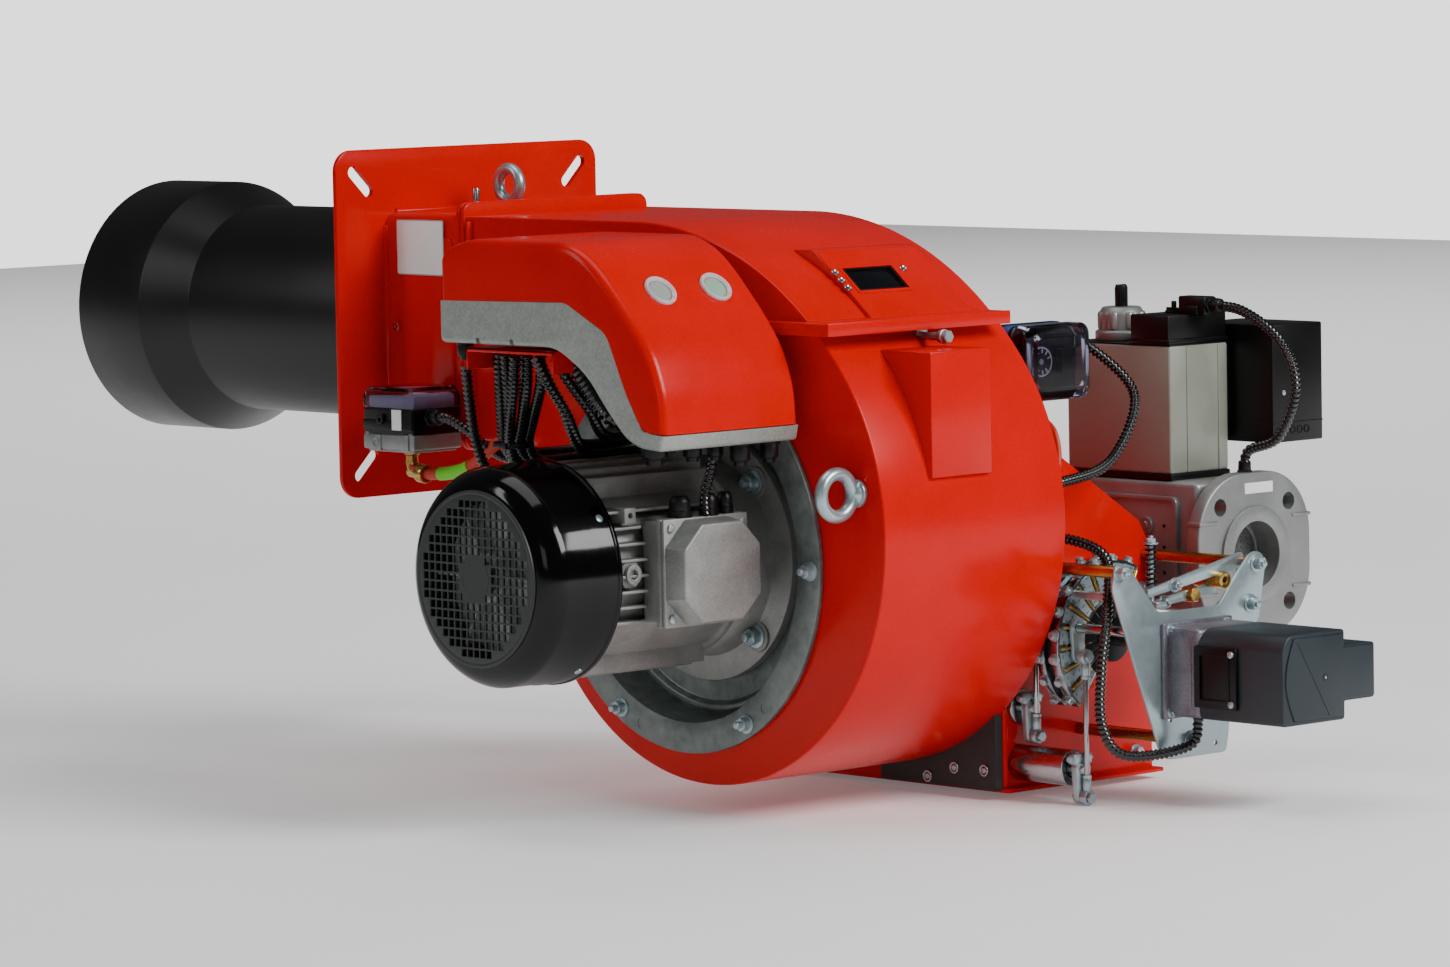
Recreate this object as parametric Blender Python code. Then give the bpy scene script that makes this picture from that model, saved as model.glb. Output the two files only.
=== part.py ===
import math

import bmesh
import bpy
from mathutils import Vector

# Driving dimensions, in metres. X runs from the boiler to the fan, Y away from the motor, Z up.
FIT = 0.0003
OVERRUN = 0.004
ROUND = 32
ROUND_SMALL = 16

# Mounting plate, blast tube and combustion head
PLATE_SIDE = 0.360
PLATE_T = 0.006
PLATE_CORNER = 0.022
SLOT_INSET = 0.033
SLOT_LONG = 0.041
SLOT_WIDE = 0.013
TUBE_R = 0.111
TUBE_WALL = 0.004
TUBE_LEN = 0.332
CONE_LEN = 0.055
HEAD_R = 0.1355
HEAD_LEN = 0.106
LANCE_R = 0.038
LANCE_WALL = 0.003
LANCE_STEP = 0.002
LANCE_TIP = 0.430
LANCE_BACK = 0.060
DISC_R = 0.088
DISC_T = 0.003
DISC_SETBACK = 0.400
DISC_SLOT_R = 0.010
DISC_SLOT_RING = 0.062
DISC_SLOTS = 6
NOZZLE_R = 0.006
NOZZLE_PAIRS = 3
PROBE_R = 0.002
PROBE_HOLE_R = 0.0075
CERAMIC_R = 0.006
PROBE_OFFSET = 0.0475
PROBE_TIP = 0.425
PROBE_BACK = 0.300
CERAMIC_LEN = 0.090
CLAMP_W = 0.008

# Connection box between the plate and the fan housing
BOX_SIDE = 0.230
BOX_WALL = 0.005
BOX_LEN = 0.132
JOINT_SIDE = 0.254
JOINT_T = 0.006
BOX_CORNER = 0.012

# Fan housing, a scroll of two arcs on a straight duct
DRUM_X = 0.492
DRUM_Z = -0.186
DRUM_R = 0.256
DRUM_NEAR = -0.124
DRUM_FAR = 0.125
DRUM_WALL = 0.003
SWELL_R = 0.376
SWELL_FROM = math.radians(40.0)
DUCT_HALF = 0.115
MOUTH_R = 0.172
INTAKE_R = 0.125
POCKET_X = 0.747
POCKET_Y = (-0.058, 0.024)
POCKET_Z = (-0.131, -0.009)

# Display console on the scroll
SHELF_X = (0.500, 0.691)
SHELF_Y = (-0.140, 0.110)
SHELF_DROP = (0.0364, 0.0274)
WEDGE_Y = (-0.045, 0.093)
WEDGE_TOP_X = (0.545, 0.575)
WEDGE_RISE = 0.0361
WEDGE_RUN = 0.089
DISPLAY_W = 0.056
DISPLAY_H = 0.028
DISPLAY_T = 0.004
DISPLAY_RISE = 0.0015
DISPLAY_Y = 0.003

# Motor
MOTOR_X = 0.468
MOTOR_Z = -0.217
RING_R = 0.195
RING_T = 0.006
DISH_R = 0.169
DISH_WALL = 0.005
DISH_DEPTH = 0.040
DISH_BORE_R = 0.060
MOTOR_FLANGE_R = 0.125
MOTOR_FLANGE_T = 0.012
SPIGOT_R = 0.0595
SHIELD_LEN = 0.030
FRAME_R = 0.091
FIN_H = 0.016
FIN_SHARE = 0.38
FIN_COUNT = 24
FRAME_LEN = 0.190
STATOR_R = 0.0565
END_WALL = 0.008
SHAFT_R = 0.014
ROTOR_R = 0.0555
ROTOR_LEN = 0.120
COWL_R = 0.110
COWL_WALL = 0.0025
COWL_LEN = 0.092
COWL_LAP = 0.012
COWL_FACE_R = 0.084
COWL_ROUND = 0.026
GRILLE_PITCH = 0.032
GRILLE_BAR = 0.008
FAN_R = 0.078
FAN_HUB_R = 0.022
FAN_LEN = 0.030
FAN_BLADES = 6
BLADE_T = 0.003
TBOX_X = (0.109, 0.138)
TBOX_Y = (-0.272, -0.162)
TBOX_Z = (-0.268, -0.163)
TBOX_WALL = 0.004
TLID_T = 0.014
TLID_CORNER = 0.024

# Impeller
IMPELLER_R = 0.165
IMPELLER_EYE_R = 0.118
IMPELLER_BACK = -0.068
IMPELLER_LEN = 0.095
IMPELLER_T = 0.003
IMPELLER_HUB_R = 0.030
IMPELLER_BLADES = 12

# Electrical panel beside the duct
PANEL_NEAR = -0.325
PANEL_FAR = -0.146
PANEL_WALL = 0.003
PANEL_LEFT = 0.335
PANEL_LONG = 0.321
PANEL_LOW = -0.092
PANEL_HIGH = 0.196
HOOD_TOP_SHARES = ((0, 0.689), (0, 0.91), (0.037, 0.959), (0.128, 1), (0.573, 1), (0.667, 0.939), (0.745, 0.837),
                   (0.869, 0.628), (0.95, 0.459), (0.994, 0.255), (1, 0.082))
RIM_SHARES = ((0, 0.689), (0.576, 0.704), (0.757, 0.561), (0.841, 0.27), (0.91, 0.092), (1, 0.077))
TRAY_LOW_SHARES = ((0.988, 0), (0.897, 0.01), (0.832, 0.051), (0.748, 0.189), (0.66, 0.357), (0.526, 0.48), (0, 0.48))
LAMP_EDGE = 6
LAMP_R = 0.017
LAMP_T = 0.004
LAMP_Y = (-0.265, -0.193)
LAMP_SHARE = 0.4
BRACKET_X = (0.372, 0.488)
BRACKET_Y = (-0.312, -0.262)
BRACKET_DROP = 0.026
CONTROLLER = (0.100, 0.095, 0.062)
CONTROLLER_X = 0.445
PANEL_ARM_X = (0.380, 0.485)
PANEL_ARM_Z = (0.012, 0.040)

# Eye bolts
EYE_FRONT_R = 0.0165
EYE_FRONT_WIRE = 0.0055
EYE_REAR_R = 0.0205
EYE_REAR_WIRE = 0.0065
EYE_COLLAR_T = 0.005
EYE_SINK = 0.003
EYE_FRONT_X = 0.0707
EYE_REAR_X = 0.712
EYE_REAR_Z = -0.142

# Air box, dampers and their linkage
AIRBOX_X = (0.281, 0.655)
AIRBOX_FAR = 0.343
AIRBOX_TOP = -0.074
AIRBOX_SHOULDER_Y = 0.328
AIRBOX_SHOULDER_Z = -0.205
AIRBOX_FAR_Z = -0.231
AIRBOX_LOW = -0.460
AIRBOX_WALL = 0.003
AIRBOX_LIP = 0.008
INTAKE_GAP = 0.012
PANEL_LOW_T = 0.010
PANEL_LOW_LONG = 0.163
DAMPER_Y = 0.150
DAMPER_SHORT_Z = -0.378
DAMPER_LONG_Z = -0.434
DAMPER_SHAFT_R = 0.006
DAMPER_CHORD = 0.042
DAMPER_BLADE_T = 0.003
DAMPER_END_GAP = 0.004
BEARING_R = 0.018
BEARING_LONG = 0.074
BEARING_SHORT = 0.006
LEVER_ARM = 0.028
LEVER_T = 0.008
LEVER_W = 0.018
LEVER_GAP = 0.006
BALL_R = 0.008
ROD_R = 0.003
ROD_EYE_R = 0.008
ROD_EYE_T = 0.008
ROD_SHORT_LEN = 0.102
ROD_LONG_LEN = 0.140
FOLLOWER_T = 0.004
PIN_R = 0.0035
PIVOT_R = 0.005

# Regulator: cams, carrier plate and servo motor
CAM_Y = 0.2065
CAM_Z = -0.311
CAM_R = 0.080
CAM_HUB_R = 0.022
CAM_DISC_T = 0.010
CAM_DISC_OUT = (0.047, 0.067)
CAM_SPAN = (math.radians(62.0), math.radians(232.0))
CAM_SHAFT_R = 0.006
CAM_HOLE_GAP = 0.001
SERVO_SOCKET = 0.012
CARRIER_OUT = 0.150
CARRIER_T = 0.003
CARRIER_ROD_R = 0.006
CARRIER_W = 0.145
CARRIER_H = 0.120
CARRIER_SHARES = ((-0.545, 0.6), (-0.5, 0.71), (-0.42, 0.71), (-0.36, 0.64), (-0.105, 0.275), (0.5, 0.275),
                  (0.8, 0.66), (0.86, 0.69), (0.93, 0.68), (0.98, 0.6), (0.9, 0.108), (0.62, 0), (0.59, -0.75),
                  (0.56, -0.95), (-0.03, -0.95), (-0.1, -0.88), (-0.55, 0.5))
CARRIER_ROD_SHARES = ((-0.48, 0.64), (0.885, 0.59), (0.2, -0.81))
SERVO_BASE_X = 0.045
SERVO_Y = (0.200, 0.290)
SERVO_Z = (-0.381, -0.292)
SERVO_COVER_X = 0.112
SERVO_BUMP_Y = 0.044
SERVO_BUMP_Z = (-0.363, -0.308)
SERVO_BUMP_INSET = 0.010

# Pressure switches
FRONT_SWITCH_X = (0.070, 0.150)
FRONT_SWITCH_Y = (-0.205, -0.140)
FRONT_SWITCH_Z = (-0.124, -0.058)
FRONT_SWITCH_BASE = 0.020
FRONT_SWITCH_TOP = 0.022
FRONT_TUBE_R = 0.006
REAR_SWITCH_X = (0.615, 0.650, 0.678)
REAR_SWITCH_Y = (0.150, 0.243)
REAR_SWITCH_Z = (-0.074, 0.002)
REAR_WINDOW_WALL = 0.003
DIAL_R = 0.015
DIAL_T = 0.006
REAR_ARM_INSET = 0.018

# Gas train
GAS_Y = 0.4285
GAS_Z = -0.244
GAS_END_X = 0.724
GAS_LEN = 0.290
GAS_FLANGE_HALF = 0.084
GAS_FLANGE_CORNER = 0.045
GAS_FLANGE_T = 0.020
GAS_BORE_R = 0.0345
GAS_PCD_R = 0.0725
GAS_HOLE_R = 0.009
VALVE_Y = (0.372, 0.485)
VALVE_Z = (-0.302, -0.1685)
COIL_X = (0.510, 0.656)
COIL_Y = (0.375, 0.462)
COIL_TOP = -0.030
CAP_X = (0.601, 0.654)
CAP_TOP = 0.000
DOME_X = 0.548
DOME_R = 0.026
DOME_H = 0.034
KNOB_R = 0.0065
KNOB_H = 0.023
ACTUATOR_X = (0.600, 0.711)
ACTUATOR_Y = (0.469, 0.545)
ACTUATOR_Z = (-0.134, -0.013)
PIPE_R = 0.038
OUTLET_FLANGE_R = 0.070
PIPE_WALL = 0.003
PIPE_RUN_X = 0.066
PIPE_BEND_R = 0.060
BUTTERFLY_X = 0.300
BUTTERFLY_R = 0.033
BUTTERFLY_T = 0.003
BUTTERFLY_SHAFT_R = 0.004
BUTTERFLY_HALF = 0.015
BUTTERFLY_LEVER = 0.030
PIPE_FLANGE_RIM = 0.018
PLUG_W = 0.018

# Hoses
HOSE_R = 0.0055
RED_TUBE_R = 0.003
BUNDLE_R = 0.018
HOSE_STEP = 0.028
FRONT_TUBE_ROUTE = ((0.108, -0.172, -0.1245), (0.110, -0.172, -0.142), (0.134, -0.170, -0.148),
                    (0.185, -0.165, -0.140), (0.222, -0.152, -0.112), (0.226, -0.1256, -0.106))
REAR_TUBE_ROUTE = ((0.640, 0.200, -0.0775), (0.6415, 0.200, -0.090), (0.664, 0.198, -0.108),
                   (0.675, 0.190, -0.142),
                   (0.690, 0.152, -0.186), (0.692, 0.1259, -0.190))
REAR_HOSE_ROUTE = ((0.637, 0.2465, -0.020), (0.637, 0.266, -0.0205), (0.690, 0.285, -0.072),
                   (0.705, 0.235, -0.135), (0.706, 0.165, -0.152), (0.706, 0.1262, -0.150))
SERVO_HOSE_FROM_BOX = ((0.045, 0.1268, -0.205), (0.051, 0.148, -0.204), (0.105, 0.165, -0.222),
                       (0.131, 0.142, -0.272), (0.135, 0.128, -0.330), (0.135, 0.128, -0.385),
                       (0.146, 0.150, -0.416), (0.173, 0.212, -0.410), (0.177, 0.222, -0.3830))
VALVE_HOSE_ROUTE = ((0.6726, 0.4185, 0.009), (0.715, 0.421, 0.004), (0.762, 0.425, -0.025), (0.779, 0.428, -0.070),
                    (0.756, 0.428, -0.122), (0.718, 0.424, -0.138), (0.712, 0.424, -0.1575))
BUNDLE_ROUTE = ((0.430, -0.285, -0.0245), (0.405, -0.275, -0.065), (0.375, -0.245, -0.100),
                (0.315, -0.190, -0.102), (0.285, -0.150, -0.088), (0.284, -0.1271, -0.087))
MOTOR_CONDUIT_ROUTE = ((0.610, -0.215, -0.0880), (0.603, -0.215, -0.118), (0.594, -0.215, -0.142), (0.594, -0.215, -0.1618))


def clear_scene():
    for obj in list(bpy.data.objects):
        bpy.data.objects.remove(obj)


def material(name, colour, roughness, metallic):
    made = bpy.data.materials.new(name)
    made.use_nodes = True
    shader = made.node_tree.nodes["Principled BSDF"]
    shader.inputs["Base Color"].default_value = (*colour, 1)
    shader.inputs["Roughness"].default_value = roughness
    shader.inputs["Metallic"].default_value = metallic
    return made


clear_scene()
RED = material("red_paint", (0.87, 0.02, 0.01), 0.3, 0)
BLACK = material("black_satin", (0.01, 0.01, 0.011), 0.35, 0)
CAST = material("cast_grey", (0.15, 0.15, 0.14), 0.5, 0.7)
ZINC = material("zinc_plate", (0.45, 0.52, 0.54), 0.35, 0.9)
STEEL = material("steel", (0.5, 0.5, 0.5), 0.3, 1)
HAMMER = material("hammer_grey", (0.35, 0.36, 0.35), 0.5, 0.3)
SERVO_GREY = material("servo_grey", (0.04, 0.055, 0.065), 0.5, 0)
COIL_BEIGE = material("coil_beige", (0.26, 0.24, 0.2), 0.4, 0.3)
CLEAR = material("clear_cover", (0.6, 0.6, 0.62), 0.1, 0)
WHITE = material("ceramic_white", (0.8, 0.8, 0.76), 0.3, 0)
RED_RUBBER = material("red_rubber", (0.45, 0.03, 0.02), 0.5, 0)


def finish(name, bm, look):
    bmesh.ops.recalc_face_normals(bm, faces=bm.faces)
    mesh = bpy.data.meshes.new(name)
    bm.to_mesh(mesh)
    bm.free()
    mesh.materials.append(look)
    mesh.shade_smooth()
    mesh.set_sharp_from_angle(angle=math.radians(35.0))
    obj = bpy.data.objects.new(name, mesh)
    bpy.context.collection.objects.link(obj)
    return obj


AXES = {"X": (1, 2, 0), "Y": (0, 2, 1), "Z": (0, 1, 2)}
SEAM_SHARES = {"X": 0.37, "Y": 0.21, "Z": 0.13}


def place(axis, first, second, along):
    point = [0, 0, 0]
    u, v, w = AXES[axis]
    point[u] = first
    point[v] = second
    point[w] = along
    return point


def prism(name, look, outline, axis, low, high):
    bm = bmesh.new()
    bottom = [bm.verts.new(place(axis, a, b, low)) for a, b in outline]
    face = bm.faces.new(bottom)
    made = bmesh.ops.extrude_face_region(bm, geom=[face])
    moved = [item for item in made["geom"] if isinstance(item, bmesh.types.BMVert)]
    bmesh.ops.translate(bm, verts=moved, vec=place(axis, 0, 0, high - low))
    return finish(name, bm, look)


def block(name, look, x, y, z):
    return prism(name, look, [(x[0], y[0]), (x[1], y[0]), (x[1], y[1]), (x[0], y[1])], "Z", z[0], z[1])


def turned(name, look, profile, axis, centre, count=ROUND):
    bm = bmesh.new()
    rings = []
    for along, radius in profile:
        if radius == 0:
            rings.append([bm.verts.new(place(axis, centre[0], centre[1], along))])
            continue
        ring = []
        for step in range(count):
            angle = math.tau * (step + SEAM_SHARES[axis]) / count
            first = centre[0] + radius * math.cos(angle)
            second = centre[1] + radius * math.sin(angle)
            ring.append(bm.verts.new(place(axis, first, second, along)))
        rings.append(ring)
    for here, there in zip(rings, rings[1:] + rings[:1]):
        if len(here) == 1 and len(there) == 1:
            continue
        for step in range(count):
            after = (step + 1) % count
            if len(here) == 1:
                bm.faces.new((here[0], there[step], there[after]))
            elif len(there) == 1:
                bm.faces.new((here[step], here[after], there[0]))
            else:
                bm.faces.new((here[step], here[after], there[after], there[step]))
    return finish(name, bm, look)


def rod(name, look, axis, centre, low, high, radius, count=ROUND_SMALL):
    return turned(name, look, [(low, 0), (low, radius), (high, radius), (high, 0)], axis, centre, count)


def pipe(name, look, axis, centre, low, high, radius, bore, count=ROUND):
    return turned(name, look, [(low, radius), (high, radius), (high, bore), (low, bore)], axis, centre, count)


def combine(target, tool, operation):
    change = target.modifiers.new(tool.name, "BOOLEAN")
    change.operation = operation
    change.solver = "EXACT"
    change.object = tool
    tool.parent = target
    tool.hide_render = True
    tool.display_type = "WIRE"
    return target


def cut(target, *tools):
    for tool in tools:
        combine(target, tool, "DIFFERENCE")
    return target


def fuse(target, *tools):
    for tool in tools:
        combine(target, tool, "UNION")
    return target


def rounded(half_a, half_b, corner, centre=(0, 0), steps=5):
    points = []
    for quarter, (side_a, side_b) in enumerate(((1, 1), (-1, 1), (-1, -1), (1, -1))):
        for step in range(steps + 1):
            angle = math.tau * (quarter + step / steps) / 4
            points.append((centre[0] + side_a * (half_a - corner) + corner * math.cos(angle),
                           centre[1] + side_b * (half_b - corner) + corner * math.sin(angle)))
    return points


def smooth_route(points, step):
    route = [Vector(point) for point in points]
    ends = [route[0] * 2 - route[1], *route, route[-1] * 2 - route[-2]]
    made = []
    for index in range(1, len(ends) - 2):
        before, start, stop, after = ends[index - 1:index + 3]
        count = max(2, round((stop - start).length / step))
        for tick in range(count):
            t = tick / count
            made.append(((start * 2) + (stop - before) * t
                         + (before * 2 - start * 5 + stop * 4 - after) * t * t
                         + (start * 3 - before - stop * 3 + after) * t * t * t) / 2)
    made.append(route[-1])
    return made


def hose(name, look, points, radius, step=HOSE_STEP, resolution=2):
    curve = bpy.data.curves.new(name, "CURVE")
    curve.dimensions = "3D"
    curve.bevel_depth = radius
    curve.bevel_resolution = resolution
    curve.use_fill_caps = True
    route = smooth_route(points, step)
    spline = curve.splines.new("POLY")
    spline.points.add(len(route) - 1)
    for point, place_at in zip(spline.points, route):
        point.co = (*place_at, 1)
    curve.materials.append(look)
    obj = bpy.data.objects.new(name, curve)
    bpy.context.collection.objects.link(obj)
    return obj


def arc(centre, radius, start, stop, steps):
    points = []
    for step in range(steps + 1):
        angle = start + (stop - start) * step / steps
        points.append((centre[0] + radius * math.cos(angle), centre[1] + radius * math.sin(angle)))
    return points


BACK = PLATE_T + BOX_LEN
MOTOR = (MOTOR_X, MOTOR_Z)
FLOOR = DRUM_NEAR + DISH_DEPTH
BODY_FRONT = FLOOR - DISH_WALL - FIT - MOTOR_FLANGE_T - SHIELD_LEN
BODY_REAR = BODY_FRONT - FIT - FRAME_LEN
COWL_FACE = BODY_REAR + COWL_LAP - COWL_LEN


def mounting_plate():
    half = PLATE_SIDE / 2
    plate = prism("mounting_plate", RED, rounded(half, half, PLATE_CORNER), "X", 0, PLATE_T)
    bore = rod("plate_bore_cutter", RED, "X", (0, 0), -OVERRUN, PLATE_T + OVERRUN, TUBE_R + FIT, ROUND)
    cut(plate, bore)
    for quarter in range(4):
        turn = math.tau * (quarter + 1 / 2) / 4
        slot = []
        for end, side in ((1, 0), (-1, math.pi)):
            for first, second in arc((0, 0), SLOT_WIDE / 2, side - math.pi / 2, side + math.pi / 2, 6):
                slot.append((first + end * (SLOT_LONG - SLOT_WIDE) / 2, second))
        reach = (PLATE_SIDE / 2 - SLOT_INSET) * math.sqrt(2)
        turned_slot = [((a + reach) * math.cos(turn) - b * math.sin(turn),
                        (a + reach) * math.sin(turn) + b * math.cos(turn)) for a, b in slot]
        cut(plate, prism(f"slot_cutter_{quarter}", RED, turned_slot, "X", -OVERRUN, PLATE_T + OVERRUN))


def blast_tube():
    shoulder = -TUBE_LEN
    wide = shoulder - CONE_LEN
    mouth = wide - HEAD_LEN
    profile = [(PLATE_T, TUBE_R), (shoulder, TUBE_R), (wide, HEAD_R), (mouth, HEAD_R),
               (mouth, HEAD_R - TUBE_WALL), (wide, HEAD_R - TUBE_WALL),
               (shoulder, TUBE_R - TUBE_WALL), (PLATE_T, TUBE_R - TUBE_WALL)]
    turned("blast_tube", BLACK, profile, "X", (0, 0), ROUND)


def combustion_head():
    side = BOX_SIDE / 2
    bore = LANCE_R - LANCE_WALL
    lance = rod("gas_lance", STEEL, "X", (0, 0), -LANCE_TIP, LANCE_BACK, LANCE_R, 18)
    elbow = rod("lance_elbow", STEEL, "Y", (PIPE_RUN_X, 0), 0, side + JOINT_T, LANCE_R - LANCE_STEP, 16)
    clamp = rod("lance_clamp", STEEL, "X", (0, 0), -PROBE_BACK - CLAMP_W, -PROBE_BACK,
                PROBE_OFFSET + CERAMIC_R + LANCE_WALL, 20)
    fuse(lance, elbow, clamp)
    heart = rod("lance_bore", STEEL, "X", (0, 0), -LANCE_TIP + DISC_T, LANCE_BACK - LANCE_WALL, bore, 18)
    hollow = rod("lance_elbow_bore", STEEL, "Y", (PIPE_RUN_X, 0), 0, side + JOINT_T + OVERRUN,
                 bore - LANCE_STEP, 14)
    cut(lance, heart, hollow)
    for index in range(NOZZLE_PAIRS):
        nozzle = rod(f"nozzle_{index}", STEEL, "Z", (0, 0), -LANCE_R - OVERRUN, LANCE_R + OVERRUN, NOZZLE_R, 8)
        nozzle.location = (-LANCE_TIP + NOZZLE_R * 2, 0, 0)
        nozzle.rotation_euler = (math.pi * (index + 1 / 2) / NOZZLE_PAIRS, 0, 0)
        cut(lance, nozzle)
    disc = pipe("flame_disc", STEEL, "X", (0, 0), -DISC_SETBACK - DISC_T, -DISC_SETBACK, DISC_R,
                LANCE_R + FIT, 18)
    for index in range(DISC_SLOTS):
        angle = math.tau * (index + 1 / 2) / DISC_SLOTS
        centre = (DISC_SLOT_RING * math.cos(angle), DISC_SLOT_RING * math.sin(angle))
        cut(disc, rod(f"disc_hole_{index}", STEEL, "X", centre, -DISC_SETBACK - DISC_T - OVERRUN,
                      -DISC_SETBACK + OVERRUN, DISC_SLOT_R, 8))
    start = -PROBE_BACK - CLAMP_W - OVERRUN
    for name, side_share in (("ignition_electrode", 1), ("flame_probe", -1)):
        centre = (side_share * PROBE_OFFSET, 0)
        profile = [(-PROBE_TIP, 0), (-PROBE_TIP, PROBE_R), (start - CERAMIC_LEN, PROBE_R),
                   (start - CERAMIC_LEN, CERAMIC_R), (start + CERAMIC_LEN, CERAMIC_R), (start + CERAMIC_LEN, 0)]
        turned(name, WHITE, profile, "X", centre, 10)
        hole = rod(f"{name}_hole", STEEL, "X", centre, -DISC_SETBACK - DISC_T - OVERRUN,
                   -DISC_SETBACK + OVERRUN, PROBE_HOLE_R, 10)
        cut(disc, hole)
        cut(lance, rod(f"{name}_clamp_bore", STEEL, "X", centre, -PROBE_BACK - CLAMP_W - OVERRUN,
                       -PROBE_BACK + OVERRUN, CERAMIC_R + FIT, 10))


def connection_box():
    half = BOX_SIDE / 2
    inner = half - BOX_WALL
    start = PLATE_T + FIT
    body = prism("connection_box", RED, rounded(half, half, BOX_CORNER), "X", start, BACK - JOINT_T)
    joint = prism("box_joint", RED, rounded(JOINT_SIDE / 2, JOINT_SIDE / 2, BOX_CORNER), "X",
                  BACK - JOINT_T - OVERRUN, BACK)
    hollow = prism("box_hollow", RED, rounded(inner, inner, BOX_CORNER - BOX_WALL), "X",
                   start - OVERRUN, BACK + OVERRUN)
    port = rod("box_port", RED, "Y", (PIPE_RUN_X, 0), inner - OVERRUN, half + OVERRUN, LANCE_R - LANCE_STEP + FIT, 16)
    fuse(body, joint)
    cut(body, hollow, port)
    cut(body, rod("box_eye_hole", RED, "Z", (EYE_FRONT_X, 0), inner - OVERRUN, half + OVERRUN,
                  EYE_FRONT_WIRE + FIT, ROUND_SMALL))


def eye_bolt(name, axis, centre, seat, outward, ring_r, wire):
    shank = rod(name, ZINC, axis, centre, seat - outward * EYE_SINK, seat + outward * (EYE_COLLAR_T + wire), wire)
    collar = rod(f"{name}_collar", ZINC, axis, centre, seat + outward * FIT,
                 seat + outward * EYE_COLLAR_T, ring_r * 2 / 3, 18)
    bpy.ops.mesh.primitive_torus_add(major_radius=ring_r, minor_radius=wire, major_segments=18, minor_segments=7)
    ring = bpy.context.object
    ring.name = f"{name}_ring"
    middle = seat + outward * (EYE_COLLAR_T + ring_r + wire / 2)
    ring.location = place(axis, centre[0], centre[1], middle)
    ring.rotation_euler = (math.pi / 2, 0, 0) if axis == "Z" else (0, math.pi / 2, 0)
    return fuse(shank, collar, ring)


def swell_centre():
    return (DRUM_X - (SWELL_R - DRUM_R) * math.cos(SWELL_FROM), DRUM_Z - (SWELL_R - DRUM_R) * math.sin(SWELL_FROM))


def swell_height(x):
    centre = swell_centre()
    return centre[1] + math.sqrt(SWELL_R ** 2 - (x - centre[0]) ** 2)


def scroll(shrink):
    centre = (DRUM_X, DRUM_Z)
    radius = DRUM_R - shrink
    low = -DUCT_HALF + shrink
    tongue = math.pi - math.asin((low - DRUM_Z) / radius)
    start = BACK + FIT - (OVERRUN if shrink > 0 else 0)
    swell = swell_centre()
    lower = arc(centre, radius, tongue, math.tau + SWELL_FROM, 44)
    upper = arc(swell, SWELL_R - shrink, SWELL_FROM, math.pi / 2, 10)
    top = upper[-1][1]
    return [(start, low), *lower, *upper[1:], (start, top)]


def scroll_solid(name, grow, near, far):
    return prism(name, RED, scroll(-grow), "Y", near, far)


def fan_housing():
    shell = prism("fan_housing", RED, scroll(0), "Y", DRUM_NEAR, DRUM_FAR)
    half = JOINT_SIDE / 2
    joint = prism("housing_joint", RED, rounded(half, half, BOX_CORNER), "X", BACK + FIT, BACK + FIT + JOINT_T)
    pocket = block("housing_pocket", RED, (DRUM_X, POCKET_X), POCKET_Y, POCKET_Z)
    fuse(shell, joint, pocket)
    hollow = prism("housing_hollow", RED, scroll(DRUM_WALL), "Y", DRUM_NEAR + DRUM_WALL, DRUM_FAR - DRUM_WALL)
    mouth = rod("housing_mouth", RED, "Y", MOTOR, DRUM_NEAR - OVERRUN, 0, MOUTH_R, ROUND)
    intake = rod("housing_intake", RED, "Y", MOTOR, 0, DRUM_FAR + OVERRUN, INTAKE_R, ROUND)
    eye = rod("housing_eye_hole", RED, "Y", (EYE_REAR_X, EYE_REAR_Z), DRUM_NEAR - OVERRUN,
              DRUM_NEAR + DRUM_WALL + OVERRUN, EYE_REAR_WIRE + FIT)
    cut(shell, hollow, mouth, intake, eye)


def display_console():
    foot_x = WEDGE_TOP_X[1] + WEDGE_RUN
    ground = swell_height(WEDGE_TOP_X[1] + WEDGE_RUN * 2 / 5)
    low = ground - SHELF_DROP[0]
    high = ground + WEDGE_RISE
    shelf = block("display_console", RED, SHELF_X, SHELF_Y, (low, ground - SHELF_DROP[1]))
    wedge_outline = [(WEDGE_TOP_X[0], high), (WEDGE_TOP_X[1], high), (foot_x, low), (WEDGE_TOP_X[0], low)]
    wedge = prism("console_wedge", RED, wedge_outline, "Y", WEDGE_Y[0], WEDGE_Y[1])
    trim = scroll_solid("console_trim", FIT, DRUM_NEAR - FIT, DRUM_FAR + OVERRUN)
    fuse(shelf, wedge)
    cut(shelf, trim)
    top = Vector((WEDGE_TOP_X[1], 0, high))
    foot = Vector((foot_x, 0, low))
    slope = math.atan2(top.z - foot.z, foot.x - top.x)
    middle = top.lerp(foot, 2 / 5)
    display = block("display_module", BLACK, (-DISPLAY_H / 2, DISPLAY_H / 2), (-DISPLAY_W / 2, DISPLAY_W / 2),
                    (-DISPLAY_T, DISPLAY_RISE))
    recess = block("display_recess", RED, (-DISPLAY_H / 2 - FIT, DISPLAY_H / 2 + FIT),
                   (-DISPLAY_W / 2 - FIT, DISPLAY_W / 2 + FIT), (-DISPLAY_T - FIT, DISPLAY_RISE + OVERRUN))
    for piece in (display, recess):
        piece.location = (middle.x, DISPLAY_Y, middle.z)
        piece.rotation_euler = (0, slope, 0)
    cut(shelf, recess)


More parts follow.
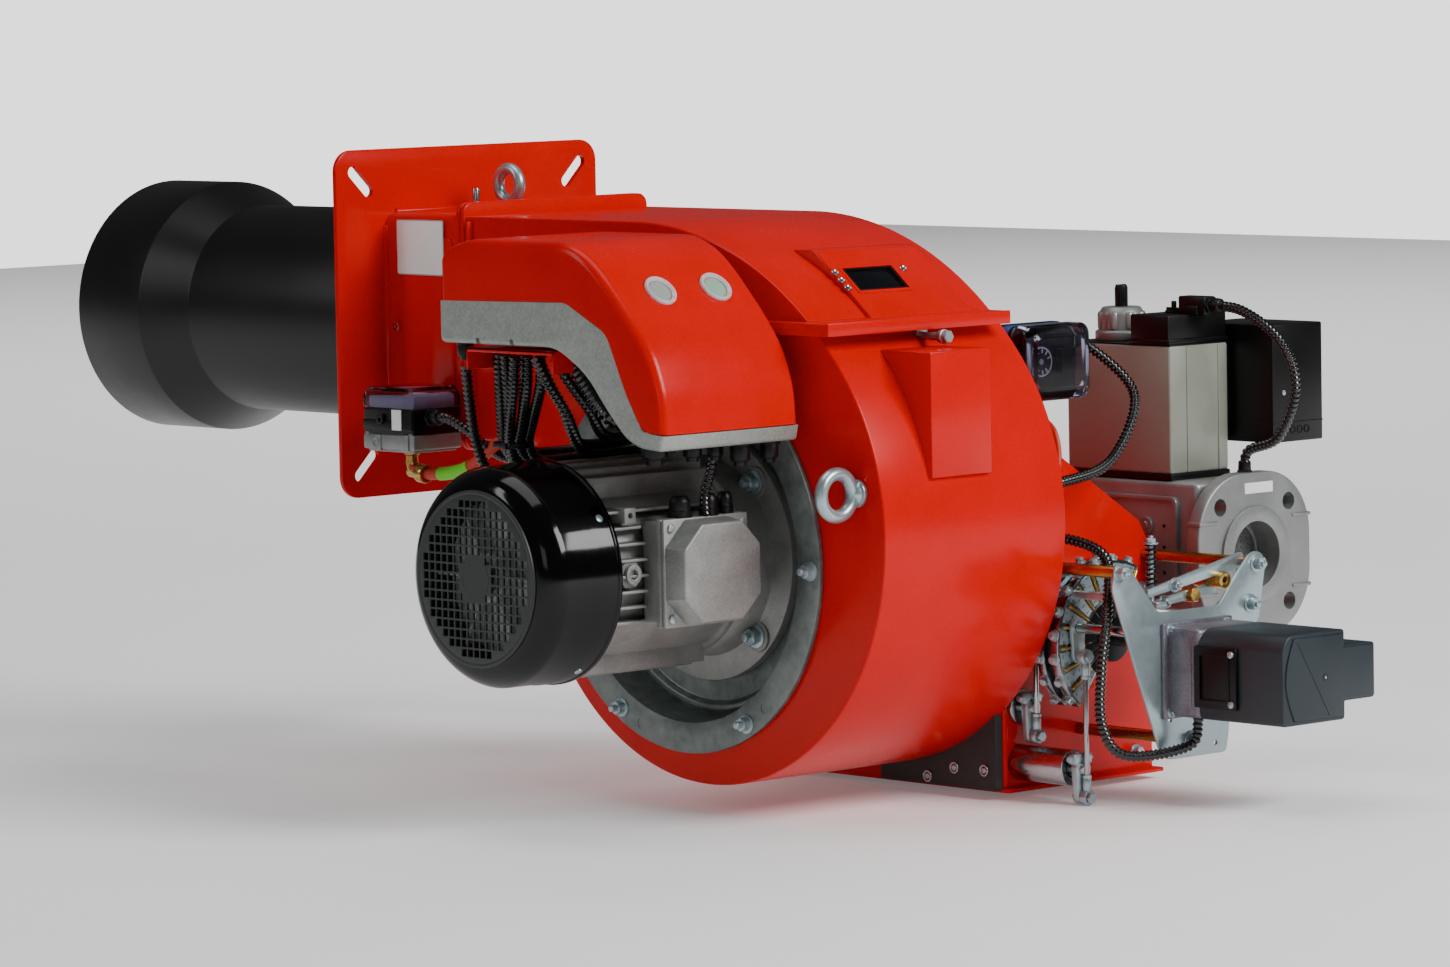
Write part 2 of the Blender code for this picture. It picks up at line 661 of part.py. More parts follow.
def motor():
    near = DRUM_NEAR - FIT
    plate_profile = [(near - RING_T, RING_R), (near, RING_R), (near, DISH_R + FIT),
                     (FLOOR, DISH_R), (FLOOR, DISH_BORE_R), (FLOOR - DISH_WALL, DISH_BORE_R),
                     (FLOOR - DISH_WALL, DISH_R - DISH_WALL), (near - RING_T, DISH_R - DISH_WALL)]
    turned("motor_plate", CAST, plate_profile, "Y", MOTOR, ROUND)
    seat = FLOOR - DISH_WALL - FIT
    body_front = BODY_FRONT
    bore = SHAFT_R + FIT
    flange_profile = [(seat, MOTOR_FLANGE_R), (seat, SPIGOT_R), (FLOOR - DISH_WALL / 2, SPIGOT_R),
                      (FLOOR - DISH_WALL / 2, bore), (seat - MOTOR_FLANGE_T, bore),
                      (seat - MOTOR_FLANGE_T, STATOR_R), (body_front, STATOR_R), (body_front, FRAME_R),
                      (seat - MOTOR_FLANGE_T, FRAME_R), (seat - MOTOR_FLANGE_T, MOTOR_FLANGE_R)]
    turned("motor_flange", CAST, flange_profile, "Y", MOTOR, ROUND)
    front = body_front - FIT
    fins = []
    for index in range(FIN_COUNT):
        middle = math.tau * (index + 1 / 2) / FIN_COUNT
        half = math.pi * FIN_SHARE / FIN_COUNT
        for angle, radius in ((middle - half, FRAME_R), (middle - half, FRAME_R + FIN_H),
                              (middle + half, FRAME_R + FIN_H), (middle + half, FRAME_R)):
            fins.append((MOTOR_X + radius * math.cos(angle), MOTOR_Z + radius * math.sin(angle)))
    body = prism("motor_body", CAST, fins, "Y", BODY_REAR, front)
    stator = rod("stator_bore", CAST, "Y", MOTOR, BODY_REAR + END_WALL, front + OVERRUN, STATOR_R, 24)
    shaft_bore = rod("body_shaft_bore", CAST, "Y", MOTOR, BODY_REAR - OVERRUN, front, bore)
    cowl_lap = pipe("cowl_lap", CAST, "Y", MOTOR, BODY_REAR - OVERRUN, BODY_REAR + COWL_LAP + FIT,
                    COWL_R + OVERRUN, FRAME_R + FIN_H - COWL_WALL, ROUND)
    seat_box = block("box_seat_cutter", CAST, (MOTOR_X + TBOX_X[0] - FIN_H - FIT, MOTOR_X + TBOX_X[1]),
                     (TBOX_Y[0] - FIT, TBOX_Y[1] + FIT), (TBOX_Z[0] - FIT, TBOX_Z[1] + FIT))
    cut(body, stator, shaft_bore, cowl_lap, seat_box)
    terminal_box()
    rotor(front)


def terminal_box():
    low = MOTOR_X + TBOX_X[0] - FIN_H
    top = MOTOR_X + TBOX_X[1]
    body = block("terminal_box", CAST, (low, top), TBOX_Y, TBOX_Z)
    inner_y = (TBOX_Y[0] + TBOX_WALL, TBOX_Y[1] - TBOX_WALL)
    inner_z = (TBOX_Z[0] + TBOX_WALL, TBOX_Z[1] - TBOX_WALL)
    hollow = block("terminal_hollow", CAST, (MOTOR_X + TBOX_X[0] + TBOX_WALL, top + OVERRUN), inner_y, inner_z)
    cut(body, hollow)
    middle = ((TBOX_Y[0] + TBOX_Y[1]) / 2, (TBOX_Z[0] + TBOX_Z[1]) / 2)
    half_y = (TBOX_Y[1] - TBOX_Y[0]) / 2
    half_z = (TBOX_Z[1] - TBOX_Z[0]) / 2
    octagon = []
    for y_side, z_side in ((1, 1), (-1, 1), (-1, -1), (1, -1)):
        corners = [(half_y, half_z - TLID_CORNER), (half_y - TLID_CORNER, half_z)]
        if y_side != z_side:
            corners.reverse()
        octagon += [(middle[0] + y_side * y, middle[1] + z_side * z) for y, z in corners]
    prism("terminal_lid", CAST, octagon, "X", top + FIT, top + FIT + TLID_T)


def rotor(front):
    rear = COWL_FACE + COWL_ROUND / 2
    tip = IMPELLER_BACK + IMPELLER_LEN / 2
    middle = (front + BODY_REAR) / 2
    profile = [(rear, 0), (rear, SHAFT_R), (middle - ROTOR_LEN / 2, SHAFT_R),
               (middle - ROTOR_LEN / 2, ROTOR_R), (middle + ROTOR_LEN / 2, ROTOR_R),
               (middle + ROTOR_LEN / 2, SHAFT_R), (tip, SHAFT_R), (tip, 0)]
    turned("rotor_shaft", STEEL, profile, "Y", MOTOR, 24)
    fan_rear = rear + BLADE_T
    fan = pipe("cooling_fan", BLACK, "Y", MOTOR, fan_rear, fan_rear + FAN_LEN, FAN_HUB_R, SHAFT_R + FIT, 18)
    for index in range(FAN_BLADES):
        blade = block(f"fan_blade_{index}", BLACK, (SHAFT_R + BLADE_T, FAN_R),
                      (fan_rear + BLADE_T, fan_rear + FAN_LEN - BLADE_T), (-BLADE_T / 2, BLADE_T / 2))
        blade.rotation_euler = (0, math.tau * index / FAN_BLADES, 0)
        blade.location = (MOTOR_X, 0, MOTOR_Z)
        fuse(fan, blade)


def fan_cowl():
    start = BODY_REAR + COWL_LAP
    bend = COWL_FACE + COWL_ROUND
    outer = [(start, COWL_R)]
    inner = [(start, COWL_R - COWL_WALL)]
    for step in range(5):
        angle = math.pi / 2 * step / 4
        along = bend - COWL_ROUND * math.sin(angle)
        outer.append((along, COWL_R - COWL_ROUND * (1 - math.cos(angle))))
        inner.append((along + COWL_WALL * math.sin(angle),
                      COWL_R - COWL_WALL - (COWL_ROUND - COWL_WALL) * (1 - math.cos(angle))))
    profile = [*outer, (COWL_FACE, 0), (COWL_FACE + COWL_WALL, 0), *reversed(inner)]
    cowl = turned("fan_cowl", BLACK, profile, "Y", MOTOR, ROUND)
    hole = GRILLE_PITCH - GRILLE_BAR
    reach = COWL_FACE_R - GRILLE_BAR
    rows = int(reach / GRILLE_PITCH)
    for row in range(-rows, rows + 1):
        for column in range(-rows, rows + 1):
            far = math.hypot(abs(row) * GRILLE_PITCH + hole / 2, abs(column) * GRILLE_PITCH + hole / 2)
            if far > reach or (row == 0 and column == 0):
                continue
            x = MOTOR_X + column * GRILLE_PITCH
            z = MOTOR_Z + row * GRILLE_PITCH
            cut(cowl, block(f"grille_{row + rows}_{column + rows}", BLACK, (x - hole / 2, x + hole / 2),
                            (COWL_FACE - OVERRUN, COWL_FACE + COWL_WALL + OVERRUN), (z - hole / 2, z + hole / 2)))


def impeller():
    back = IMPELLER_BACK
    front = back + IMPELLER_LEN
    bore = SHAFT_R + FIT
    wheel = pipe("impeller", STEEL, "Y", MOTOR, back, back + IMPELLER_T, IMPELLER_R, bore, ROUND)
    hub = pipe("impeller_hub", STEEL, "Y", MOTOR, back, back + IMPELLER_LEN / 2, IMPELLER_HUB_R, bore, 20)
    ring = pipe("impeller_ring", STEEL, "Y", MOTOR, front - IMPELLER_T, front, IMPELLER_R, IMPELLER_EYE_R, ROUND)
    fuse(wheel, hub, ring)
    long = IMPELLER_R - IMPELLER_EYE_R
    for index in range(IMPELLER_BLADES):
        blade = block(f"impeller_blade_{index}", STEEL, (-long / 2, long / 2),
                      (back + IMPELLER_T / 2, front - IMPELLER_T / 2), (-IMPELLER_T / 2, IMPELLER_T / 2))
        angle = math.tau * index / IMPELLER_BLADES
        middle = (IMPELLER_R + IMPELLER_EYE_R) / 2 - IMPELLER_T
        blade.location = (MOTOR_X + middle * math.cos(angle), 0, MOTOR_Z - middle * math.sin(angle))
        blade.rotation_euler = (0, angle + math.radians(30.0), 0)
        fuse(wheel, blade)


def inset(outline, distance):
    moved = []
    area = sum(a[0] * b[1] - b[0] * a[1] for a, b in zip(outline, outline[1:] + outline[:1]))
    sign = math.copysign(1, area)
    for before, here, after in zip(outline[-1:] + outline[:-1], outline, outline[1:] + outline[:1]):
        first = (Vector(here) - Vector(before)).normalized()
        second = (Vector(after) - Vector(here)).normalized()
        normal_a = Vector((-first.y, first.x)) * sign
        normal_b = Vector((-second.y, second.x)) * sign
        middle = (normal_a + normal_b).normalized()
        moved.append(tuple(Vector(here) + middle * (distance / middle.dot(normal_a))))
    return moved


def panel_points(shares):
    return [(PANEL_LEFT + PANEL_LONG * x, PANEL_LOW + PANEL_HIGH * z) for x, z in shares]


def electrical_panel():
    top = panel_points(HOOD_TOP_SHARES)
    rim = panel_points(RIM_SHARES)
    low = panel_points(TRAY_LOW_SHARES)
    lifted = [(x, z + FIT) for x, z in rim]
    hollow_outline = inset([*top, *low], PANEL_WALL)
    hood = prism("panel_hood", RED, [*top[1:], *reversed(lifted)], "Y", PANEL_NEAR, PANEL_FAR)
    tray = prism("panel_tray", HAMMER, [*rim, *low], "Y", PANEL_NEAR, PANEL_FAR)
    hollow = prism("panel_hollow", RED, hollow_outline, "Y", PANEL_NEAR + PANEL_WALL, PANEL_FAR - PANEL_WALL)
    arm = block("panel_arm", HAMMER, PANEL_ARM_X, (PANEL_FAR - PANEL_WALL, DRUM_NEAR - FIT), PANEL_ARM_Z)
    floor = low[-1][1]
    bracket = block("conduit_bracket", HAMMER, BRACKET_X, BRACKET_Y, (floor - BRACKET_DROP, floor + PANEL_WALL / 2))
    bracket_hollow = block("bracket_hollow", HAMMER, (BRACKET_X[0] + PANEL_WALL, BRACKET_X[1] - PANEL_WALL),
                           (BRACKET_Y[0] + PANEL_WALL, BRACKET_Y[1] + OVERRUN),
                           (floor - BRACKET_DROP - OVERRUN, floor - PANEL_WALL))
    cut(hood, hollow)
    cut(tray, hollow)
    fuse(tray, arm, bracket)
    cut(tray, bracket_hollow)
    width, depth, height = CONTROLLER
    middle_y = (PANEL_NEAR + PANEL_FAR) / 2
    seat = floor + PANEL_WALL + FIT
    block("burner_controller", BLACK, (CONTROLLER_X - width / 2, CONTROLLER_X + width / 2),
          (middle_y - depth / 2, middle_y + depth / 2), (seat, seat + height))
    upper, lower = Vector(top[LAMP_EDGE]), Vector(top[LAMP_EDGE + 1])
    middle = upper.lerp(lower, LAMP_SHARE)
    slope = math.atan2(lower.x - upper.x, upper.y - lower.y)
    for name, y in (("lamp_near", LAMP_Y[0]), ("lamp_far", LAMP_Y[1])):
        lamp = rod(name, WHITE, "Z", (0, 0), FIT, LAMP_T, LAMP_R, 24)
        lamp.location = (middle.x, y, middle.y)
        lamp.rotation_euler = (0, math.pi / 2 - slope, 0)


def air_box():
    near = DRUM_FAR + FIT
    outline = [(near, AIRBOX_TOP), (near, AIRBOX_LOW), (AIRBOX_FAR, AIRBOX_LOW), (AIRBOX_FAR, AIRBOX_FAR_Z),
               (AIRBOX_SHOULDER_Y, AIRBOX_SHOULDER_Z)]
    body = prism("air_box", RED, outline, "X", AIRBOX_X[0], AIRBOX_X[1])
    lip = block("air_box_lip", RED, (AIRBOX_X[0] - AIRBOX_LIP, AIRBOX_X[1] + AIRBOX_LIP),
                (near, AIRBOX_FAR + AIRBOX_LIP), (AIRBOX_LOW - AIRBOX_WALL, AIRBOX_LOW + AIRBOX_WALL / 2))
    inner = inset(outline, AIRBOX_WALL)
    inside = (AIRBOX_X[0] + AIRBOX_WALL, AIRBOX_X[1] - AIRBOX_WALL)
    hollow = prism("air_box_hollow", RED, inner, "X", inside[0], inside[1])
    intake = block("air_intake", RED, (inside[0] + INTAKE_GAP, inside[1] - INTAKE_GAP),
                   (near + AIRBOX_WALL + INTAKE_GAP, AIRBOX_FAR - AIRBOX_WALL - INTAKE_GAP),
                   (AIRBOX_LOW - OVERRUN, AIRBOX_LOW + OVERRUN))
    inlet = rod("air_box_inlet", RED, "Y", MOTOR, near - OVERRUN, near + AIRBOX_WALL + OVERRUN, INTAKE_R, ROUND)
    bearing = rod("short_bearing", RED, "X", (DAMPER_Y, DAMPER_SHORT_Z), AIRBOX_X[1] - AIRBOX_WALL / 2,
                  AIRBOX_X[1] + BEARING_SHORT, BEARING_R, 20)
    pivot = rod("short_pivot", RED, "X", (DAMPER_Y, DAMPER_SHORT_Z + ROD_SHORT_LEN), AIRBOX_X[1] - AIRBOX_WALL / 2,
                short_lever_x() + LEVER_T, PIVOT_R)
    fuse(body, lip, bearing, pivot)
    cut(body, hollow, intake, inlet)
    for index, z in enumerate((DAMPER_SHORT_Z, DAMPER_LONG_Z)):
        cut(body, rod(f"damper_hole_{index}", RED, "X", (DAMPER_Y, z), inside[1] - OVERRUN,
                      AIRBOX_X[1] + BEARING_LONG, DAMPER_SHAFT_R + FIT))
    side = block("intake_panel", BLACK, (DRUM_X, DRUM_X + PANEL_LOW_LONG), (DRUM_FAR - PANEL_LOW_T, DRUM_FAR),
                 (AIRBOX_LOW, DRUM_Z))
    cut(side, scroll_solid("intake_panel_trim", FIT, DRUM_NEAR, DRUM_FAR + OVERRUN))
    pipe("bearing_tube", ZINC, "X", (DAMPER_Y, DAMPER_LONG_Z), AIRBOX_X[1] + FIT, AIRBOX_X[1] + BEARING_LONG,
         BEARING_R, DAMPER_SHAFT_R + FIT, 24)


def short_lever_x():
    return AIRBOX_X[1] + BEARING_SHORT + LEVER_GAP


def long_lever_x():
    return AIRBOX_X[1] + BEARING_LONG + LEVER_GAP


def hang(obj, y, z):
    obj.location = (0, y, z)
    return obj


def crank(name, lever_x, thick, pin_from):
    """A lever that hangs down from its own axis, with a pin along X at its end."""
    bar = block(name, ZINC, (lever_x, lever_x + thick), (-LEVER_W / 2, LEVER_W / 2), (-LEVER_ARM - BALL_R, LEVER_W / 2))
    pin = rod(f"{name}_pin", ZINC, "X", (0, -LEVER_ARM), pin_from, lever_x + LEVER_T + ROD_EYE_T + FIT, PIN_R, 12)
    fuse(bar, pin)
    return bar


def damper(name, z, lever_x):
    bar = crank(name, lever_x, LEVER_T, lever_x + LEVER_T / 2)
    inside = (AIRBOX_X[0] + AIRBOX_WALL + DAMPER_END_GAP, AIRBOX_X[1] - AIRBOX_WALL - DAMPER_END_GAP)
    shaft = rod(f"{name}_shaft", ZINC, "X", (0, 0), AIRBOX_X[0] + AIRBOX_WALL + FIT, lever_x + LEVER_T / 2,
                DAMPER_SHAFT_R)
    blade = block(f"{name}_blade", ZINC, inside, (-DAMPER_BLADE_T / 2, DAMPER_BLADE_T / 2),
                  (-DAMPER_CHORD / 2, DAMPER_CHORD / 2))
    fuse(bar, shaft, blade)
    hang(bar, DAMPER_Y, z)


def push_rod(name, z, lever_x, length):
    start = lever_x + LEVER_T + FIT
    eye = pipe(name, STEEL, "X", (0, 0), start, start + ROD_EYE_T - FIT, ROD_EYE_R, PIN_R + FIT, 16)
    upper = pipe(f"{name}_upper", STEEL, "X", (0, length), start, start + ROD_EYE_T - FIT, ROD_EYE_R, PIN_R + FIT, 16)
    middle = start + (ROD_EYE_T - FIT) / 2
    bar = rod(f"{name}_bar", STEEL, "Z", (middle, 0), PIN_R + ROD_R / 2, length - PIN_R - ROD_R / 2, ROD_R, 12)
    clear_low = rod(f"{name}_low_bore", STEEL, "X", (0, 0), start - OVERRUN, start + ROD_EYE_T + OVERRUN, PIN_R + FIT)
    clear_top = rod(f"{name}_top_bore", STEEL, "X", (0, length), start - OVERRUN, start + ROD_EYE_T + OVERRUN,
                    PIN_R + FIT)
    fuse(eye, bar, upper)
    cut(eye, clear_low, clear_top)
    hang(eye, DAMPER_Y, z - LEVER_ARM)


def follower(name, z, lever_x):
    bar = crank(name, lever_x, FOLLOWER_T, lever_x)
    cut(bar, rod(f"{name}_bore", ZINC, "X", (0, 0), lever_x - OVERRUN, lever_x + FOLLOWER_T + OVERRUN, PIVOT_R + FIT))
    hang(bar, DAMPER_Y, z)


def linkage():
    damper("damper_short", DAMPER_SHORT_Z, short_lever_x())
    damper("damper_long", DAMPER_LONG_Z, long_lever_x())
    push_rod("rod_short", DAMPER_SHORT_Z, short_lever_x(), ROD_SHORT_LEN)
    push_rod("rod_long", DAMPER_LONG_Z, long_lever_x(), ROD_LONG_LEN)
    follower("follower_short", DAMPER_SHORT_Z + ROD_SHORT_LEN, short_lever_x())
    follower("follower_long", DAMPER_LONG_Z + ROD_LONG_LEN, long_lever_x())


def carrier_points(shares):
    return [(CAM_Y + CARRIER_W * y, CAM_Z + CARRIER_H * z) for y, z in shares]


def regulator():
    side = AIRBOX_X[1]
    carrier_x = side + CARRIER_OUT
    carrier = prism("regulator_frame", ZINC, carrier_points(CARRIER_SHARES), "X", carrier_x, carrier_x + CARRIER_T)
    for index, place_at in enumerate(carrier_points(CARRIER_ROD_SHARES)):
        fuse(carrier, rod(f"carrier_rod_{index}", ZINC, "X", place_at, side + FIT,
                          carrier_x + CARRIER_T / 2, CARRIER_ROD_R, 12))
    fuse(carrier, rod("long_pivot", ZINC, "X", (DAMPER_Y, DAMPER_LONG_Z + ROD_LONG_LEN),
                      long_lever_x() - FIT, carrier_x + CARRIER_T / 2, PIVOT_R))
    cut(carrier, rod("carrier_shaft_hole", ZINC, "X", (CAM_Y, CAM_Z), carrier_x - OVERRUN,
                     carrier_x + CARRIER_T + OVERRUN, CAM_SHAFT_R + CAM_HOLE_GAP))
    hub_end = side + CAM_DISC_OUT[1] + CAM_DISC_T + CAM_HOLE_GAP
    drum = rod("cam_drum", ZINC, "X", (0, 0), side + FIT, carrier_x + CARRIER_T + SERVO_SOCKET, CAM_SHAFT_R)
    fuse(drum, rod("cam_hub", ZINC, "X", (0, 0), side + CAM_DISC_OUT[0] - CAM_SHAFT_R, hub_end, CAM_HUB_R, 24))
    for index, out in enumerate(CAM_DISC_OUT):
        outer = arc((0, 0), CAM_R, CAM_SPAN[0], CAM_SPAN[1], 18)
        back = arc((0, 0), CAM_HUB_R - CAM_SHAFT_R / 2, CAM_SPAN[1], CAM_SPAN[0], 6)
        fuse(drum, prism(f"cam_disc_{index}", ZINC, [*outer, *back], "X", side + out, side + out + CAM_DISC_T))
    hang(drum, CAM_Y, CAM_Z)
    base_start = carrier_x + CARRIER_T + FIT
    base = block("servo_base", CAST, (base_start, base_start + SERVO_BASE_X), SERVO_Y, SERVO_Z)
    cut(base, rod("servo_socket", CAST, "X", (CAM_Y, CAM_Z), base_start - OVERRUN, base_start + SERVO_SOCKET + OVERRUN,
                  CAM_SHAFT_R + FIT))
    start = base_start + SERVO_BASE_X + FIT
    stop = start + SERVO_COVER_X
    cover = block("servo_cover", SERVO_GREY, (start, stop), SERVO_Y, SERVO_Z)
    fuse(cover, block("servo_bump", SERVO_GREY, (start + SERVO_BUMP_INSET, stop - SERVO_BUMP_INSET),
                      (SERVO_Y[1] - OVERRUN, SERVO_Y[1] + SERVO_BUMP_Y), SERVO_BUMP_Z))


def front_switch():
    x, y, z = FRONT_SWITCH_X, FRONT_SWITCH_Y, FRONT_SWITCH_Z
    split = z[1] - FRONT_SWITCH_TOP
    body = block("front_switch_body", BLACK, x, y, (z[0], split))
    arm = block("front_switch_arm", BLACK, (x[0] + FRONT_SWITCH_BASE / 2, x[1] - FRONT_SWITCH_BASE * 3 / 2),
                (y[1] - OVERRUN, -BOX_SIDE / 2 - FIT), (z[0] + FRONT_SWITCH_BASE / 2, split - FRONT_SWITCH_BASE / 2))
    fuse(body, arm)
    block("front_switch_cover", CLEAR, x, y, (split + FIT, z[1]))
    hose("front_switch_tube", RED_RUBBER, FRONT_TUBE_ROUTE, FRONT_TUBE_R)


def rear_switch():
    x, y, z = REAR_SWITCH_X, REAR_SWITCH_Y, REAR_SWITCH_Z
    body = block("rear_switch_body", BLACK, x[:2], y, z)
    arm = block("rear_switch_arm", BLACK, (x[0] + OVERRUN, x[1] - OVERRUN), (DRUM_FAR + FIT, y[0] + OVERRUN),
                (z[0] + REAR_ARM_INSET, z[1] - REAR_ARM_INSET))
    fuse(body, arm)
    cover = block("rear_switch_cover", CLEAR, (x[1] + FIT, x[2]), y, z)
    wall = REAR_WINDOW_WALL
    cut(cover, block("rear_cover_hollow", CLEAR, (x[1] - OVERRUN, x[2] - wall), (y[0] + wall, y[1] - wall),
                     (z[0] + wall, z[1] - wall)))
    dial = rod("rear_switch_dial", BLACK, "X", (0, 0), x[1] + FIT, x[1] + FIT + DIAL_T, DIAL_R, 24)
    hang(dial, (y[0] + y[1]) / 2 - DIAL_R / 2, (z[0] + z[1]) / 2)
    hose("rear_switch_tube", RED_RUBBER, REAR_TUBE_ROUTE, RED_TUBE_R)
    hose("rear_switch_hose", BLACK, REAR_HOSE_ROUTE, HOSE_R)


def swept_pipe(name, look, points, radius, bore, count=14):
    bm = bmesh.new()
    side = Vector((0, 1, 0))
    rings = []
    for index, point in enumerate(points):
        before = points[max(index - 1, 0)]
        after = points[min(index + 1, len(points) - 1)]
        along = (after - before).normalized()
        side = (side - along * side.dot(along)).normalized()
        up = along.cross(side)
        for reach in (radius, bore):
            rings.append([bm.verts.new(point + (side * math.cos(math.tau * step / count)
                                                + up * math.sin(math.tau * step / count)) * reach)
                          for step in range(count)])
    outer, inner = rings[0::2], rings[1::2]
    loop = [*outer, *reversed(inner)]
    for here, there in zip(loop, loop[1:] + loop[:1]):
        for step in range(count):
            after = (step + 1) % count
            bm.faces.new((here[step], here[after], there[after], there[step]))
    return finish(name, bm, look)


def gas_train():
    valve_start = GAS_END_X - GAS_LEN
    centre = (GAS_Y, GAS_Z)
    valve = block("gas_valve", CAST, (valve_start, GAS_END_X - GAS_FLANGE_T / 2), VALVE_Y, VALVE_Z)
    flange = prism("valve_flange", CAST, rounded(GAS_FLANGE_HALF, GAS_FLANGE_HALF, GAS_FLANGE_CORNER, centre), "X",
                   GAS_END_X - GAS_FLANGE_T, GAS_END_X)
    fuse(valve, flange)
    cut(valve, rod("valve_bore", CAST, "X", centre, valve_start - OVERRUN, GAS_END_X + OVERRUN, GAS_BORE_R, 24))
    for index in range(4):
        angle = math.tau * (index + 1 / 2) / 4
        hole = (GAS_Y + GAS_PCD_R * math.cos(angle), GAS_Z + GAS_PCD_R * math.sin(angle))
        cut(valve, rod(f"flange_hole_{index}", CAST, "X", hole, GAS_END_X - GAS_FLANGE_T - OVERRUN,
                       GAS_END_X + OVERRUN, GAS_HOLE_R))
    block("solenoid_box", COIL_BEIGE, COIL_X, COIL_Y, (VALVE_Z[1] + FIT, COIL_TOP))
    cap = block("solenoid_cap", BLACK, CAP_X, COIL_Y, (COIL_TOP + FIT, CAP_TOP))
    plug_y = ((COIL_Y[0] + COIL_Y[1] - PLUG_W) / 2, (COIL_Y[0] + COIL_Y[1] + PLUG_W) / 2)
    fuse(cap, block("cap_plug", BLACK, (CAP_X[1] - PLUG_W, CAP_X[1] + PLUG_W), plug_y,
                    (CAP_TOP - OVERRUN / 2, CAP_TOP + PLUG_W)))
    dome_at = (DOME_X, (COIL_Y[0] + COIL_Y[1]) / 2)
    dome_top = COIL_TOP + FIT + DOME_H
    turned("coil_dome", ZINC, [(COIL_TOP + FIT, 0), (COIL_TOP + FIT, DOME_R), (dome_top - KNOB_R, DOME_R),
                               (dome_top, DOME_R - KNOB_R), (dome_top, 0)], "Z", dome_at, 24)
    knob = rod("dome_knob", BLACK, "Z", (0, 0), dome_top + FIT, dome_top + KNOB_H, KNOB_R)
    knob.location = (dome_at[0], dome_at[1], 0)
    actuator = block("actuator_box", BLACK, ACTUATOR_X, ACTUATOR_Y, ACTUATOR_Z)
    fuse(actuator, block("actuator_foot", BLACK, (ACTUATOR_X[0] + OVERRUN, COIL_X[1] - OVERRUN),
                         (COIL_Y[1] + FIT, ACTUATOR_Y[0] + OVERRUN), (ACTUATOR_Z[0] + OVERRUN, COIL_TOP - OVERRUN)))
    supply_pipe(valve_start)
    hose("valve_hose", BLACK, VALVE_HOSE_ROUTE, HOSE_R)


def supply_pipe(valve_start):
    bend = PIPE_BEND_R
    points = [Vector((valve_start - FIT, GAS_Y, GAS_Z))]
    for x, z in arc((PIPE_RUN_X + bend, GAS_Z + bend), bend, -math.pi / 2, -math.pi, 5):
        points.append(Vector((x, GAS_Y, z)))
    for y, z in arc((GAS_Y - bend, -bend), bend, 0, math.pi / 2, 5):
        points.append(Vector((PIPE_RUN_X, y, z)))
    wall_y = BOX_SIDE / 2 + JOINT_T + FIT
    points.append(Vector((PIPE_RUN_X, wall_y, 0)))
    bore = PIPE_R - PIPE_WALL
    line = swept_pipe("gas_pipe", RED, points, PIPE_R, bore)
    centre = (GAS_Y, GAS_Z)
    valve_flange = pipe("pipe_valve_flange", RED, "X", centre, valve_start - FIT - GAS_FLANGE_T, valve_start - FIT,
                        OUTLET_FLANGE_R, bore + FIT, 20)
    box_flange = pipe("pipe_box_flange", RED, "Y", (PIPE_RUN_X, 0), wall_y, wall_y + JOINT_T * 2,
                      LANCE_R + PIPE_FLANGE_RIM, bore + FIT, 20)
    collar = pipe("butterfly_collar", RED, "X", centre, BUTTERFLY_X - BUTTERFLY_HALF, BUTTERFLY_X + BUTTERFLY_HALF,
                  PIPE_R + PIPE_FLANGE_RIM / 2, bore + FIT, 20)
    fuse(line, valve_flange, box_flange, collar)
    reach = PIPE_R + PIPE_FLANGE_RIM
    cut(line, rod("butterfly_bore", RED, "Z", (BUTTERFLY_X, GAS_Y), GAS_Z - reach, GAS_Z + reach,
                  BUTTERFLY_SHAFT_R + FIT, 12))
    disc = rod("gas_butterfly", ZINC, "X", (0, 0), -BUTTERFLY_T / 2, BUTTERFLY_T / 2, BUTTERFLY_R, 28)
    shaft = rod("butterfly_shaft", ZINC, "Z", (0, 0), -reach, reach + LEVER_T, BUTTERFLY_SHAFT_R, 12)
    handle = block("butterfly_handle", ZINC, (-LEVER_T, BUTTERFLY_LEVER), (-LEVER_T / 2, LEVER_T / 2),
                   (reach + LEVER_T / 2, reach + LEVER_T))
    fuse(disc, shaft, handle)
    disc.location = (BUTTERFLY_X, GAS_Y, GAS_Z)


def build():
    mounting_plate()
    blast_tube()
    combustion_head()
    connection_box()
    eye_bolt("eye_bolt_front", "Z", (EYE_FRONT_X, 0), BOX_SIDE / 2, 1, EYE_FRONT_R, EYE_FRONT_WIRE)
    fan_housing()
    eye_bolt("eye_bolt_rear", "Y", (EYE_REAR_X, EYE_REAR_Z), DRUM_NEAR, -1, EYE_REAR_R, EYE_REAR_WIRE)
    display_console()
    motor()
    fan_cowl()
    impeller()
    electrical_panel()
    air_box()
    linkage()
    regulator()
    front_switch()
    rear_switch()
    gas_train()
    hose("conduit_bundle", BLACK, BUNDLE_ROUTE, BUNDLE_R)
    hose("motor_conduit", BLACK, MOTOR_CONDUIT_ROUTE, HOSE_R)
    hose("servo_hose", BLACK, [(AIRBOX_X[1] + x, y, z) for x, y, z in SERVO_HOSE_FROM_BOX], HOSE_R)


build()
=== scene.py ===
import math

import bmesh
import bpy
from mathutils import Matrix, Vector


